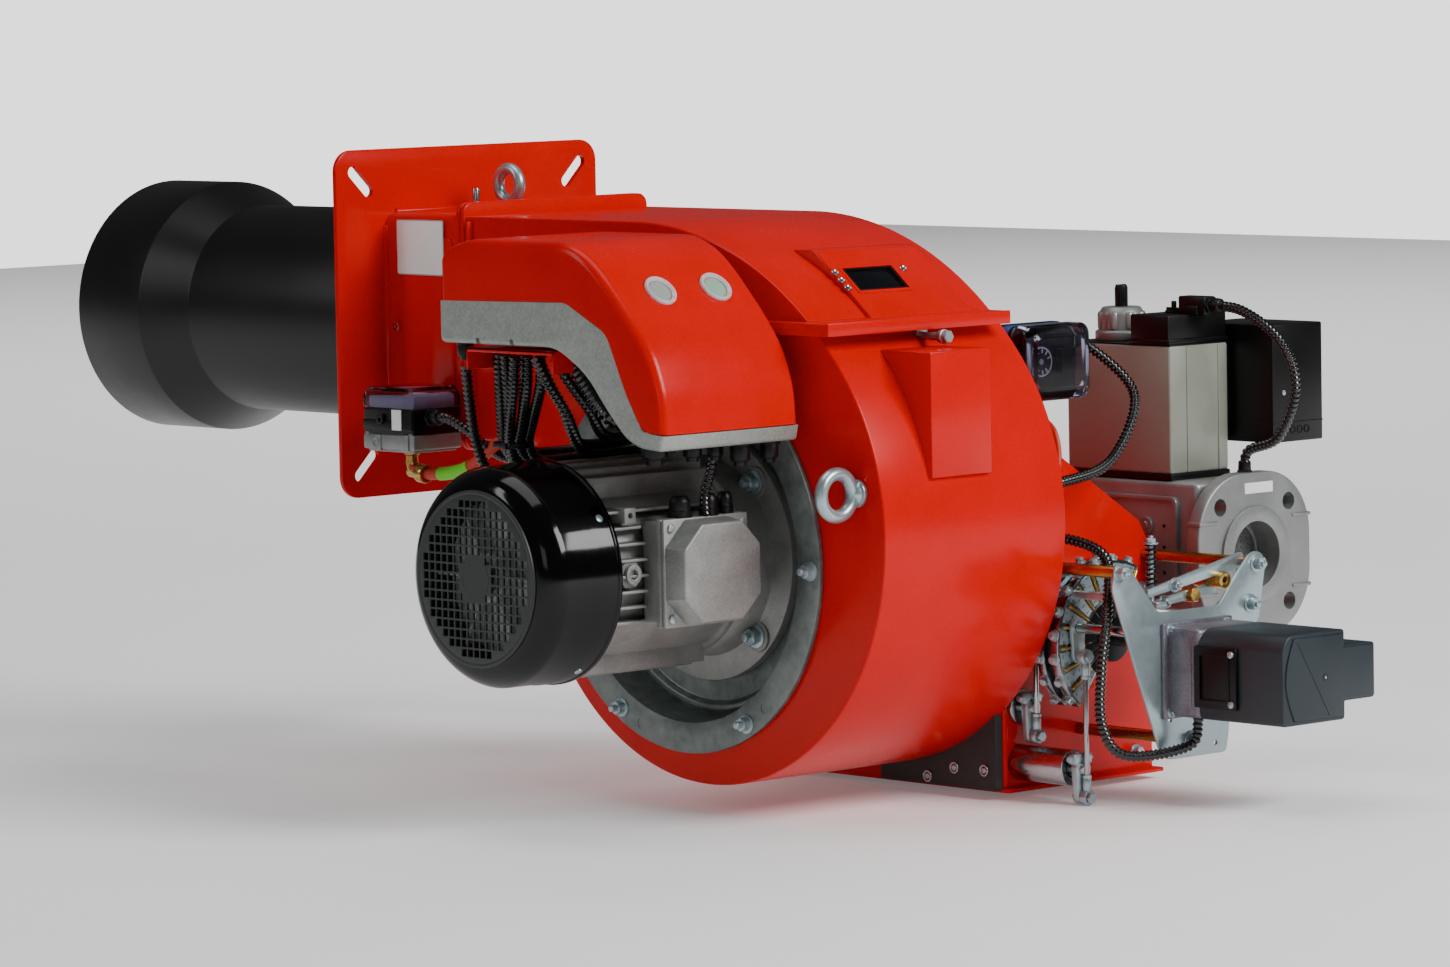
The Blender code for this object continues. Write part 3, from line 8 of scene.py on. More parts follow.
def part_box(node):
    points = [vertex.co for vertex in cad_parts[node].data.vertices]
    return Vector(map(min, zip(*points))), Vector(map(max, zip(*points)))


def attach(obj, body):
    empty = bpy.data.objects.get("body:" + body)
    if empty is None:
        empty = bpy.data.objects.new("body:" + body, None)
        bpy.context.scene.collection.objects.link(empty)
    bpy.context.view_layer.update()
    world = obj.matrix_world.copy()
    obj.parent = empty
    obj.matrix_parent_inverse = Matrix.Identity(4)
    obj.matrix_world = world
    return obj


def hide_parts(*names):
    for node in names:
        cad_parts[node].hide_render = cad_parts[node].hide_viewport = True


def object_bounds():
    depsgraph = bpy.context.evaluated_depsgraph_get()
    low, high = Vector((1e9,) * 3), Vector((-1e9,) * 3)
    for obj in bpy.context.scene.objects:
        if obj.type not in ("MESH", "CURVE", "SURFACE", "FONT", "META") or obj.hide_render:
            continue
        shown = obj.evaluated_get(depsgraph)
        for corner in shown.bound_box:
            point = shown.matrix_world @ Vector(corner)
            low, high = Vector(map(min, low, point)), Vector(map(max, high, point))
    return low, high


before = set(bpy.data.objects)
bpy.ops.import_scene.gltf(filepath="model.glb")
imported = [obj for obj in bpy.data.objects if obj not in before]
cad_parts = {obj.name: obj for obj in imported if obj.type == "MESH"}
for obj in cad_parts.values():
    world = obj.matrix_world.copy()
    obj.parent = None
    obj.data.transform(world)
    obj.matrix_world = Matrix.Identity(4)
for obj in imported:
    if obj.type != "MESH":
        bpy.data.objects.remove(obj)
CAD_BOX = [list(corner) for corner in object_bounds()]
FLOOR_Z = CAD_BOX[0][2]
MM = 0.001
# Clearance between two pieces that don't touch, the same as in the part's source
FIT = 0.0003
SCENE = bpy.context.scene


# Camera at the photograph's place
CAMERA_AT = (5.164, -4.444, 0.395)
CAMERA_YAW = math.radians(47.04)
CAMERA_PITCH = math.radians(4.84)
CAMERA_ROLL = -0.0188
LENS_MM = 161.1
SENSOR_MM = 36
FARTHEST = 60


def set_camera():
    yaw, pitch, roll = CAMERA_YAW, CAMERA_PITCH, CAMERA_ROLL
    ahead = Vector((-math.sin(yaw) * math.cos(pitch), math.cos(yaw) * math.cos(pitch), -math.sin(pitch)))
    right = Vector((math.cos(yaw), math.sin(yaw), 0))
    up = right.cross(ahead)
    turned_right = right * math.cos(roll) + up * math.sin(roll)
    turned_up = up * math.cos(roll) - right * math.sin(roll)
    basis = Matrix((turned_right, turned_up, -ahead)).transposed().to_4x4()
    data = bpy.data.cameras.new("camera")
    data.lens = LENS_MM
    data.sensor_width = SENSOR_MM
    data.sensor_fit = "HORIZONTAL"
    data.clip_end = FARTHEST
    camera = bpy.data.objects.new("camera", data)
    camera.matrix_world = Matrix.Translation(CAMERA_AT) @ basis
    SCENE.collection.objects.link(camera)
    SCENE.camera = camera


# Materials
def hex_colour(code):
    parts = [int(code[at:at + 2], 16) / 255 for at in (0, 2, 4)]
    return (*[part / 12.92 if part <= 0.04045 else ((part + 0.055) / 1.055) ** 2.4 for part in parts], 1)


def add(tree, kind, inputs=None, **settings):
    node = tree.nodes.new(kind)
    for key, value in settings.items():
        setattr(node, key, value)
    for key, value in (inputs or {}).items():
        if isinstance(value, bpy.types.NodeSocket):
            tree.links.new(value, node.inputs[key])
        else:
            node.inputs[key].default_value = value
    return node


def surface(name, light, dark, rough, grain_mm, depth_mm, metallic=0.0, stretch=(1, 1, 1), cells=False,
            blotch_mm=60.0, **shader_values):
    """A two-colour mottled surface with grain of a real size: rough is its lowest and highest roughness."""
    made = bpy.data.materials.new(name)
    made.use_nodes = True
    tree = made.node_tree
    shader = tree.nodes["Principled BSDF"]
    place = add(tree, "ShaderNodeTexCoord").outputs["Object"]
    grain_at = add(tree, "ShaderNodeMapping", {"Vector": place, "Scale": stretch}).outputs["Vector"]
    if cells:
        grain = add(tree, "ShaderNodeTexVoronoi", {"Vector": grain_at, "Scale": 1 / (grain_mm * MM)},
                    feature="SMOOTH_F1").outputs["Distance"]
    else:
        grain = add(tree, "ShaderNodeTexNoise", {"Vector": grain_at, "Scale": 1 / (grain_mm * MM), "Detail": 3.0,
                                                 "Roughness": 0.6}).outputs["Fac"]
    blotch = add(tree, "ShaderNodeTexNoise", {"Vector": place, "Scale": 1 / (blotch_mm * MM), "Detail": 4.0,
                                              "Roughness": 0.55}).outputs["Fac"]
    both = add(tree, "ShaderNodeMath", {0: grain, 1: blotch}, operation="ADD").outputs[0]
    share = add(tree, "ShaderNodeMapRange", {"Value": both, "From Min": 0.6, "From Max": 1.4}).outputs["Result"]
    tone = add(tree, "ShaderNodeMixRGB", {"Fac": share, "Color1": hex_colour(dark), "Color2": hex_colour(light)})
    tree.links.new(tone.outputs["Color"], shader.inputs["Base Color"])
    gloss = add(tree, "ShaderNodeMapRange", {"Value": share, "To Min": rough[0], "To Max": rough[1]})
    tree.links.new(gloss.outputs["Result"], shader.inputs["Roughness"])
    bump = add(tree, "ShaderNodeBump", {"Height": grain, "Distance": depth_mm * MM, "Strength": 1.0})
    tree.links.new(bump.outputs["Normal"], shader.inputs["Normal"])
    shader.inputs["Metallic"].default_value = metallic
    for key, value in shader_values.items():
        shader.inputs[key.replace("_", " ")].default_value = value
    return made


# Stove enamel sprayed on sheet steel: glossy, with a faint orange peel
RED = surface("red_stove_enamel", "D60000", "C60000", (0.2, 0.28), 2.6, 0.006, Coat_Weight=0.05,
              Coat_Roughness=0.08, Specular_IOR_Level=0.18)
# Heat-proof silicone paint on the tube: satin black with soft streaks along it
TUBE_BLACK = surface("black_heat_paint", "08080A", "040405", (0.32, 0.42), 1.6, 0.01, stretch=(0.12, 1, 1),
                     Specular_IOR_Level=0.4)
# Drawn sheet cowl dipped in black gloss lacquer: sharp, bright reflections
COWL_BLACK = surface("black_gloss_lacquer", "040405", "020203", (0.08, 0.13), 5.0, 0.006,
                     Specular_IOR_Level=0.3)
# Injection-moulded black plastics: a fine grain that dulls their gloss
GRILLE = surface("black_moulded_nylon", "2B2F30", "1F2223", (0.38, 0.5), 0.9, 0.01)
PLASTIC = surface("black_moulded_plastic", "0A0A0B", "050506", (0.3, 0.44), 0.8, 0.008, Specular_IOR_Level=0.3)
# Extruded nylon conduit: smooth ribs, each with a bright line along its crest
CONDUIT = surface("black_corrugated_nylon", "0B0B0C", "040405", (0.14, 0.22), 1.2, 0.006, Specular_IOR_Level=0.7)
# Sand-cast aluminium of the motor: a coarse grain that scatters light
CAST = surface("cast_aluminium", "A6A7A4", "737471", (0.42, 0.58), 1.5, 0.10, metallic=0.5, blotch_mm=35)
# Spun and zinc-coated plate ring round the motor: darker, cloudy
RING = surface("cloudy_zinc_sheet", "8B9391", "5D6563", (0.34, 0.5), 9.0, 0.015, metallic=0.6, blotch_mm=30)
# Die-cast aluminium: a finer skin than sand casting, matt and even; the servo's base is duller and mottled
DIE_CAST = surface("die_cast_aluminium", "9FA1A0", "7F8180", (0.34, 0.48), 1.2, 0.04, metallic=0.55, blotch_mm=45)
SERVO_BASE = surface("dull_die_casting", "8E8A94", "615E68", (0.3, 0.48), 2.4, 0.03, metallic=0.6, blotch_mm=14)
# Bright zinc plate with a pale blue passivation: smooth and cool in tone
ZINC = surface("blue_zinc_plate", "B6C7CB", "A2B4B9", (0.28, 0.36), 7.0, 0.003, metallic=0.75, blotch_mm=60)
# Cast aluminium fan, seen as bright metal behind the grille
FAN = surface("bright_cast_fan", "D6D8D8", "B4B7B7", (0.3, 0.45), 3.0, 0.01, metallic=0.25)
# Chromated steel rods, amber with streaks, and turned brass with fine rings
BRONZE = surface("yellow_chromate", "C98A3C", "8A4A1C", (0.2, 0.34), 6.0, 0.01, metallic=0.95, stretch=(0.2, 1, 1),
                 blotch_mm=25)
BRASS = surface("turned_brass", "D9B268", "A5803C", (0.22, 0.34), 1.0, 0.01, metallic=1.0, stretch=(0.2, 1, 1))
# Bright steel ground along its length: narrow, stretched highlights
STEEL = surface("ground_steel", "C9CBCC", "8F9294", (0.16, 0.3), 0.8, 0.005, metallic=1.0, stretch=(0.1, 1, 1))
# Hammered silver-grey paint: round dimples about 3 mm across
HAMMER = surface("hammered_grey_paint", "A3A8A3", "8B908A", (0.36, 0.5), 2.6, 0.07, metallic=0.3, cells=True,
                 blotch_mm=18)
# Moulded servo cover: slate grey with a matt grain
SERVO = surface("slate_moulded_plastic", "222D34", "1A2329", (0.4, 0.52), 0.8, 0.015)
# Coil casing in champagne-grey metallic lacquer: a soft, even sheen
COIL = surface("champagne_lacquer", "9DA094", "898C80", (0.32, 0.42), 0.8, 0.006, metallic=0.15,
               Specular_IOR_Level=0.35)
# Clear moulded polycarbonate: see-through, with bright edges
CLEAR = surface("clear_polycarbonate", "C4C2D2", "B6B4C6", (0.04, 0.08), 12.0, 0.004, Transmission_Weight=1.0,
                IOR=1.3)
# Clear acrylic ring round a lamp, milky where it is thick
CLEAR_RING = surface("clear_acrylic_ring", "E9DDE2", "D9C6CE", (0.06, 0.12), 4.0, 0.01, Alpha=0.72, IOR=1.49,
                     Coat_Weight=0.8)
# Pale moulding under the front switch's cover, a guess that gives it the violet tone
VIOLET = surface("pale_violet_moulding", "EBE4F2", "D8CFE2", (0.3, 0.45), 2.0, 0.01)
# Frosted acrylic lamp lenses: a soft sheen, one grey and one green
LENS = surface("frosted_acrylic", "A6ADA8", "929A94", (0.16, 0.26), 2.0, 0.02, IOR=1.49, Coat_Weight=0.6)
LENS_GREEN = surface("green_frosted_acrylic", "9DBFA8", "86A892", (0.16, 0.26), 2.0, 0.02, IOR=1.49,
                     Coat_Weight=0.6)
# Tinted glass over a display that is off: nearly black, with a clear reflection
GLASS = surface("dark_display_glass", "0B0D12", "06070A", (0.12, 0.18), 9.0, 0.004, Specular_IOR_Level=0.3)
# Bare label stock, coated paper: flat white
PAPER = surface("bare_white_label", "F3F3F1", "E4E4E2", (0.42, 0.55), 1.2, 0.01)
# Dyed plastic sleeve and switch plate: plain, saturated colours
GREEN = surface("green_sleeve", "7BE01E", "5FC411", (0.4, 0.55), 1.0, 0.01)
BLUE = surface("blue_moulded_plastic", "2F55A4", "234388", (0.35, 0.5), 1.0, 0.01)
# Extruded silicone rubber: dull red-orange
RUBBER = surface("red_rubber_tube", "D03A1C", "B32A12", (0.4, 0.55), 1.0, 0.02)
# Glazed ceramic of the ignition parts: cream and glossy
CERAMIC = surface("glazed_ceramic", "EDE9DC", "DAD5C6", (0.12, 0.2), 4.0, 0.02)
# Woven steel gauze in the gas bore: a grey weave with dark meshes
GAUZE = surface("filter_gauze", "8C8C8A", "3C3C3B", (0.4, 0.6), 1.6, 0.4, metallic=0.8, cells=True)
# Sheet steel in a thin dark coat: matt and cloudy
SHEET_BLACK = surface("dark_grey_sheet", "343737", "282B2B", (0.45, 0.6), 1.6, 0.02, metallic=0.2, blotch_mm=25)
# Oiled spring steel: nearly black, with small highlights
SPRING = surface("oiled_spring_steel", "2A2B2D", "151617", (0.25, 0.4), 0.8, 0.01, metallic=0.8)
# Matt studio floor, lifted a little so that it stays pale in the corners
FLOOR = surface("pale_studio_floor", "FBFBFB", "F8F8F8", (0.7, 0.8), 8.0, 0.01, blotch_mm=400,
                Emission_Color=(1, 1, 1, 1), Emission_Strength=0.14)
# Burnished zinc on the cam discs: it mirrors what stands round it
CAM_FACE = surface("bright_zinc_disc", "A7B2B7", "7C878D", (0.12, 0.22), 1.5, 0.004, metallic=1.0, blotch_mm=20)
# Satin aluminium strips that carry the printed scales
SCALE = surface("satin_scale_strip", "A9B8BC", "93A3A8", (0.28, 0.4), 1.2, 0.004, metallic=0.6)


# Shapes: each returns a closed bmesh in its place, and assemble joins them into one piece
AXES = {"X": (1, 2, 0), "Y": (0, 2, 1), "Z": (0, 1, 2)}
TURNS = {"X": Matrix.Rotation(math.pi / 2, 4, "Y"), "Y": Matrix.Rotation(-math.pi / 2, 4, "X"),
         "Z": Matrix.Identity(4)}


def at_axis(axis, first, second, along):
    """A point from its place across an axis and along it."""
    point = [0.0, 0.0, 0.0]
    for slot, value in zip(AXES[axis], (first, second, along)):
        point[slot] = value
    return Vector(point)


def soften(bm, edge, steps=2, angle=30.0, only=None):
    """Bevels the edges sharper than an angle in degrees, or those of them that only picks."""
    sharp = [item for item in bm.edges if len(item.link_faces) == 2
             and item.calc_face_angle(0) > math.radians(angle) and (only is None or only(item))]
    if edge and sharp:
        bmesh.ops.bevel(bm, geom=sharp, offset=edge, offset_type="OFFSET", segments=steps, profile=0.5,
                        affect="EDGES", material=-1, clamp_overlap=True)
    return bm


def block(x, y, z, edge=0.001, steps=2):
    bm = bmesh.new()
    bmesh.ops.create_cube(bm, size=1)
    low, high = Vector((x[0], y[0], z[0])), Vector((x[1], y[1], z[1]))
    bmesh.ops.scale(bm, vec=high - low, verts=bm.verts)
    bmesh.ops.translate(bm, vec=(low + high) / 2, verts=bm.verts)
    return soften(bm, edge, steps)


def slab(outline, axis, low, high, edge=0.0, steps=2, ends_only=False):
    """An outline drawn across an axis and extruded along it."""
    bm = bmesh.new()
    face = bm.faces.new([bm.verts.new(at_axis(axis, a, b, low)) for a, b in outline])
    made = bmesh.ops.extrude_face_region(bm, geom=[face])["geom"]
    bmesh.ops.translate(bm, verts=[item for item in made if isinstance(item, bmesh.types.BMVert)],
                        vec=at_axis(axis, 0, 0, high - low))
    bmesh.ops.recalc_face_normals(bm, faces=bm.faces)
    slot = AXES[axis][2]
    keep = (lambda item: abs(item.verts[0].co[slot] - item.verts[1].co[slot]) < MM / 10) if ends_only else None
    return soften(bm, edge, steps, only=keep)


def turned(axis, centre, profile, steps=64, edge=0.0):
    """A profile of (along, radius) spun round an axis; a profile off the axis closes on itself as a ring."""
    bm = bmesh.new()
    verts = [bm.verts.new((radius, 0, along)) for along, radius in profile]
    edges = [bm.edges.new(pair) for pair in zip(verts, verts[1:])]
    if profile[0][1] > 0 and profile[-1][1] > 0:
        edges.append(bm.edges.new((verts[-1], verts[0])))
    bmesh.ops.spin(bm, geom=verts + edges, cent=(0, 0, 0), axis=(0, 0, 1), angle=math.tau, steps=steps,
                   use_merge=True)
    bmesh.ops.remove_doubles(bm, verts=bm.verts, dist=MM / 100)
    bmesh.ops.recalc_face_normals(bm, faces=bm.faces)
    soften(bm, edge, 2)
    bmesh.ops.transform(bm, matrix=Matrix.Translation(at_axis(axis, centre[0], centre[1], 0)) @ TURNS[axis],
                        verts=bm.verts)
    return bm


def rod(axis, centre, low, high, radius, edge=0.0005, steps=32):
    return turned(axis, centre, [(low, 0), (low, radius), (high, radius), (high, 0)], steps, edge)


def ring(axis, centre, low, high, radius, bore, edge=0.0005, steps=64):
    return turned(axis, centre, [(low, radius), (high, radius), (high, bore), (low, bore)], steps, edge)


def hexagon(axis, centre, low, high, across, edge=0.0006):
    bm = bmesh.new()
    bmesh.ops.create_cone(bm, cap_ends=True, segments=6, radius1=across / math.sqrt(3),
                          radius2=across / math.sqrt(3), depth=high - low)
    middle = at_axis(axis, centre[0], centre[1], (low + high) / 2)
    bmesh.ops.transform(bm, matrix=Matrix.Translation(middle) @ TURNS[axis], verts=bm.verts)
    return soften(bm, edge, 1)


def bolt(axis, centre, seat, outward, across, stud=0.0):
    """A washer, a hexagon and the rounded end of a stud, standing on a seat."""
    def span(start, stop):
        return sorted((seat + outward * start, seat + outward * stop))
    thick = across * 0.12
    head = across * 0.62
    shapes = [rod(axis, centre, *span(-MM / 2, thick), across * 0.78, 0.0003, 20),
              hexagon(axis, centre, *span(thick / 2, thick + head), across)]
    if stud:
        shapes.append(rod(axis, centre, *span(head, thick + head + stud), across * 0.29, 0.0006, 14))
    return shapes


def bolts_at(axis, places, seat, outward, across, stud=0.0):
    return [shape for place in places for shape in bolt(axis, place, seat, outward, across, stud)]


def moved(bm, matrix):
    """The shape put in its place, its faces pointing outwards again."""
    bmesh.ops.transform(bm, matrix=matrix, verts=bm.verts)
    bmesh.ops.recalc_face_normals(bm, faces=bm.faces)
    return bm


def about_x(centre, angle):
    """Turns what is drawn on the X axis by an angle, and sets it on a centre in Y and Z."""
    return Matrix.Translation((0, *centre)) @ Matrix.Rotation(angle, 4, "X")


def smooth_route(points, step):
    """A smooth curve through the points, with a new point about every step."""
    route = [Vector(point) for point in points]
    ends = [route[0] * 2 - route[1], *route, route[-1] * 2 - route[-2]]
    made = []
    for index in range(1, len(ends) - 2):
        before, start, stop, after = ends[index - 1:index + 3]
        count = max(2, round((stop - start).length / step))
        for tick in range(count):
            t = tick / count
            made.append(((start * 2) + (stop - before) * t
                         + (before * 2 - start * 5 + stop * 4 - after) * t * t
                         + (start * 3 - before - stop * 3 + after) * t * t * t) / 2)
    made.append(route[-1])
    return made


def tube(points, radii, sides=12):
    """A closed tube that follows points: one circle is extruded and set square to the line at each of them."""
    bm = bmesh.new()
    made = bmesh.ops.create_circle(bm, cap_ends=True, segments=sides, radius=1.0)
    ring_verts = made["verts"]
    side = Vector((0.31, 0.52, 0.8))
    before = Matrix.Identity(4)
    for index, point in enumerate(points):
        ahead = points[min(index + 1, len(points) - 1)] - points[max(index - 1, 0)]
        ahead.normalize()
        side = (side - ahead * side.dot(ahead)).normalized()
        frame_here = Matrix((side, ahead.cross(side), ahead)).transposed().to_4x4()
        here = Matrix.Translation(point) @ frame_here @ Matrix.Scale(radii[index % len(radii)], 4)
        if index:
            rim = list({item for vert in ring_verts for item in vert.link_edges
                        if item.other_vert(vert) in ring_verts})
            grown = bmesh.ops.extrude_edge_only(bm, edges=rim)["geom"]
            ring_verts = [item for item in grown if isinstance(item, bmesh.types.BMVert)]
        bmesh.ops.transform(bm, matrix=here @ before.inverted(), verts=ring_verts)
        before = here
    rim = list({item for vert in ring_verts for item in vert.link_edges if item.other_vert(vert) in ring_verts})
    bmesh.ops.edgeloop_fill(bm, edges=rim)
    bmesh.ops.recalc_face_normals(bm, faces=bm.faces)
    return bm


def carved(bm, *cutters):
    """The shape less its cutters, cut exactly."""
    objects = []
    for shape in (bm, *cutters):
        bmesh.ops.recalc_face_normals(shape, faces=shape.faces)
        mesh = bpy.data.meshes.new("carving")
        shape.to_mesh(mesh)
        shape.free()
        objects.append(bpy.data.objects.new("carving", mesh))
        SCENE.collection.objects.link(objects[-1])
    for cutter in objects[1:]:
        change = objects[0].modifiers.new("cut", "BOOLEAN")
        change.operation = "DIFFERENCE"
        change.solver = "EXACT"
        change.object = cutter
    bpy.context.view_layer.update()
    result = bmesh.new()
    evaluated = objects[0].evaluated_get(bpy.context.evaluated_depsgraph_get())
    result.from_mesh(evaluated.to_mesh())
    evaluated.to_mesh_clear()
    for item in objects:
        data = item.data
        bpy.data.objects.remove(item)
        bpy.data.meshes.remove(data)
    return result


def joined(shapes):
    """All the shapes in one bmesh, as they are."""
    whole = bmesh.new()
    for shape in shapes:
        temp = bpy.data.meshes.new("part")
        shape.to_mesh(temp)
        shape.free()
        whole.from_mesh(temp)
        bpy.data.meshes.remove(temp)
    return whole


def from_node(node, edge=0.0, steps=2):
    """A CAD node's own solid, merged and with its sharp edges softened."""
    bm = bmesh.new()
    bm.from_mesh(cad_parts[node].data)
    bmesh.ops.remove_doubles(bm, verts=bm.verts, dist=MM / 100)
    bmesh.ops.dissolve_limit(bm, angle_limit=math.radians(1.0), verts=bm.verts, edges=bm.edges)
    return soften(bm, edge, steps)


def assemble(name, body, groups, stands_for=(), crease=32.0):
    """Joins groups of (material, shapes) into one piece that rides on a body."""
    mesh = bpy.data.meshes.new(name)
    whole = bmesh.new()
    for index, (look, shapes) in enumerate(groups):
        mesh.materials.append(look)
        part = joined(shapes)
        for face in part.faces:
            face.material_index = index
        temp = bpy.data.meshes.new("part")
        part.to_mesh(temp)
        part.free()
        whole.from_mesh(temp)
        bpy.data.meshes.remove(temp)
    whole.to_mesh(mesh)
    whole.free()
    mesh.shade_smooth()
    mesh.set_sharp_from_angle(angle=math.radians(crease))
    piece = bpy.data.objects.new(name, mesh)
    SCENE.collection.objects.link(piece)
    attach(piece, body)
    if stands_for:
        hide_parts(*stands_for)
    return piece


def filleted(points, radius, steps=4):
    """An outline with each corner rounded; radius is one length, or one for each corner."""
    made = []
    count = len(points)
    radii = radius if isinstance(radius, (list, tuple)) else [radius] * count
    for index, here in enumerate(points):
        here = Vector(here)
        to_last = Vector(points[index - 1]) - here
        to_next = Vector(points[(index + 1) % count]) - here
        reach = min(radii[index], to_last.length * 0.45, to_next.length * 0.45)
        if reach <= 0:
            made.append(tuple(here))
            continue
        first = here + to_last.normalized() * reach
        last = here + to_next.normalized() * reach
        for step in range(steps + 1):
            t = step / steps
            made.append(tuple(first * (1 - t) ** 2 + here * 2 * t * (1 - t) + last * t ** 2))
    return made


def arc(centre, radius, start, stop, steps):
    """Points on a circle from one angle to another, both in radians."""
    return [(centre[0] + radius * math.cos(start + (stop - start) * step / steps),
             centre[1] + radius * math.sin(start + (stop - start) * step / steps)) for step in range(steps + 1)]


def ring_points(centre, radius, count, first=0.0):
    """Evenly spaced places on a circle, the first at an angle in degrees."""
    return [(centre[0] + radius * math.cos(math.radians(first) + math.tau * index / count),
             centre[1] + radius * math.sin(math.radians(first) + math.tau * index / count))
            for index in range(count)]


set_camera()

# Sizes shared by several pieces, the same as in the part's source
PLATE_T = 0.006
BOX_BACK = 0.138
DRUM = (0.492, -0.186)
DRUM_R = 0.256
DRUM_NEAR = -0.124
DRUM_FAR = 0.125
DRUM_WALL = 0.003
SWELL_R = 0.376
SWELL_FROM = math.radians(40.0)
DUCT_HALF = 0.115
INTAKE_R = 0.125
MOTOR = (0.468, -0.217)
BODY = "burner"


def scroll(shrink):
    """The volute's outline with its duct, drawn smaller by shrink."""
    radius = DRUM_R - shrink
    low = -DUCT_HALF + shrink
    tongue = math.pi - math.asin((low - DRUM[1]) / radius)
    start = BOX_BACK + FIT - (0.004 if shrink > 0 else 0)
    swell = (DRUM[0] - (SWELL_R - DRUM_R) * math.cos(SWELL_FROM), DRUM[1] - (SWELL_R - DRUM_R) * math.sin(SWELL_FROM))
    lower = arc(DRUM, radius, tongue, math.tau + SWELL_FROM, 120)
    upper = arc(swell, SWELL_R - shrink, SWELL_FROM, math.pi / 2, 30)
    return [(start, low), *lower, *upper[1:], (start, upper[-1][1])]


def rounded(half_a, half_b, corner, centre=(0, 0), steps=8):
    """A rectangle's outline with round corners, from its half sizes."""
    points = []
    for quarter, (side_a, side_b) in enumerate(((1, 1), (-1, 1), (-1, -1), (1, -1))):
        turn = math.tau * quarter / 4
        points += arc((centre[0] + side_a * (half_a - corner), centre[1] + side_b * (half_b - corner)), corner,
                      turn, turn + math.tau / 4, steps)
    return points


def plate_and_tube():
    half, slot_reach, slot_r = 0.180, 0.147 * math.sqrt(2), 0.0065
    slots = []
    for quarter in range(4):
        outline = [*arc((0.014, 0), slot_r, -math.pi / 2, math.pi / 2, 10),
                   *arc((-0.014, 0), slot_r, math.pi / 2, 3 * math.pi / 2, 10)]
        cutter = slab(outline, "X", -0.002, PLATE_T + 0.002)
        turn = Matrix.Rotation(math.tau * (quarter + 0.5) / 4, 4, "X")
        slots.append(moved(cutter, turn @ Matrix.Translation((0, slot_reach, 0))))
    bore = rod("X", (0, 0), -0.002, PLATE_T + 0.002, 0.1113, 0, 96)
    plate = carved(slab(rounded(half, half, 0.022), "X", 0, PLATE_T, 0.0012), joined([bore, *slots]))
    assemble("door_plate", BODY, [(RED, [plate])], ["mounting_plate"])
    wall = 0.004
    profile = [(PLATE_T, 0.111), (-0.332, 0.111), (-0.387, 0.1355), (-0.493, 0.1355), (-0.493, 0.1355 - wall),
               (-0.387, 0.1355 - wall), (-0.332, 0.111 - wall), (PLATE_T, 0.111 - wall)]
    tube_shape = turned("X", (0, 0), profile, 128)
    soften(tube_shape, 0.0012, 2, 15)
    seam = ring("X", (0, 0), -0.340, -0.336, 0.1125, 0.109, 0.0008, 96)
    assemble("flame_tube", BODY, [(TUBE_BLACK, [tube_shape, seam])], ["blast_tube"])


def front_box():
    half, wall, port = 0.115, 0.005, 0.0363
    shell = slab(rounded(half, half, 0.016), "X", PLATE_T + FIT, 0.133, 0.0, 2)
    joint = slab(rounded(0.127, 0.127, 0.012), "X", 0.132, BOX_BACK, 0.0014)
    weld = []
    for side in range(4):
        bead = rod("Y", (PLATE_T, 0), -half + 0.014, half - 0.014, 0.0042, 0.0015, 16)
        weld.append(moved(bead, Matrix.Rotation(math.tau * side / 4, 4, "X")
                          @ Matrix.Translation((0, 0, half - 0.001))))
    hollow = slab(rounded(half - wall, half - wall, 0.011), "X", 0.0, 0.15)
    port_hole = rod("Y", (0.066, 0), half - 0.01, half + 0.01, port, 0, 48)
    body = carved(shell, hollow, port_hole)
    frame_ring = carved(joint, slab(rounded(half - wall, half - wall, 0.011), "X", 0.12, 0.15))
    pad = slab(rounded(0.040, 0.088, 0.010, (0.073, 0.002)), "Y", -half - 0.0014, -half + 0.001, 0.0008)
    rib = block((0.1185, 0.1275), (-half - 0.0035, -half + 0.001), (-0.105, 0.112), 0.0015)
    top_rib = block((0.1185, 0.1275), (-0.105, 0.105), (half - 0.001, half + 0.0035), 0.0015)
    stud = rod("Z", (0.107, -0.077), half - 0.001, half + 0.0245, 0.0036, 0.0006, 20)
    screw_at = (0.0235, -0.004)
    screw = rod("Y", screw_at, -half - 0.0035, -half, 0.0062, 0.0012, 28)
    screw_dot = ring("Y", screw_at, -half - 0.0041, -half, 0.0042, 0.0012, 0.0004, 20)
    assemble("front_casing", BODY,
             [(RED, [body, frame_ring, pad, rib, top_rib, *weld, screw]), (STEEL, [stud, screw_dot])],
             ["connection_box"])
    label_at = (0.063, 0.079)
    label = slab(rounded(0.036, 0.0275, 0.002, label_at), "Y", -half - 0.0022, -half - 0.0012, 0.0003)
    rim = carved(slab(rounded(0.0372, 0.0287, 0.0026, label_at), "Y", -half - 0.0018, -half - 0.0012),
                 slab(rounded(0.0352, 0.0267, 0.002, label_at), "Y", -half - 0.003, -half + 0.001))
    assemble("bare_rating_plate", BODY, [(PAPER, [label]), (ZINC, [rim])])


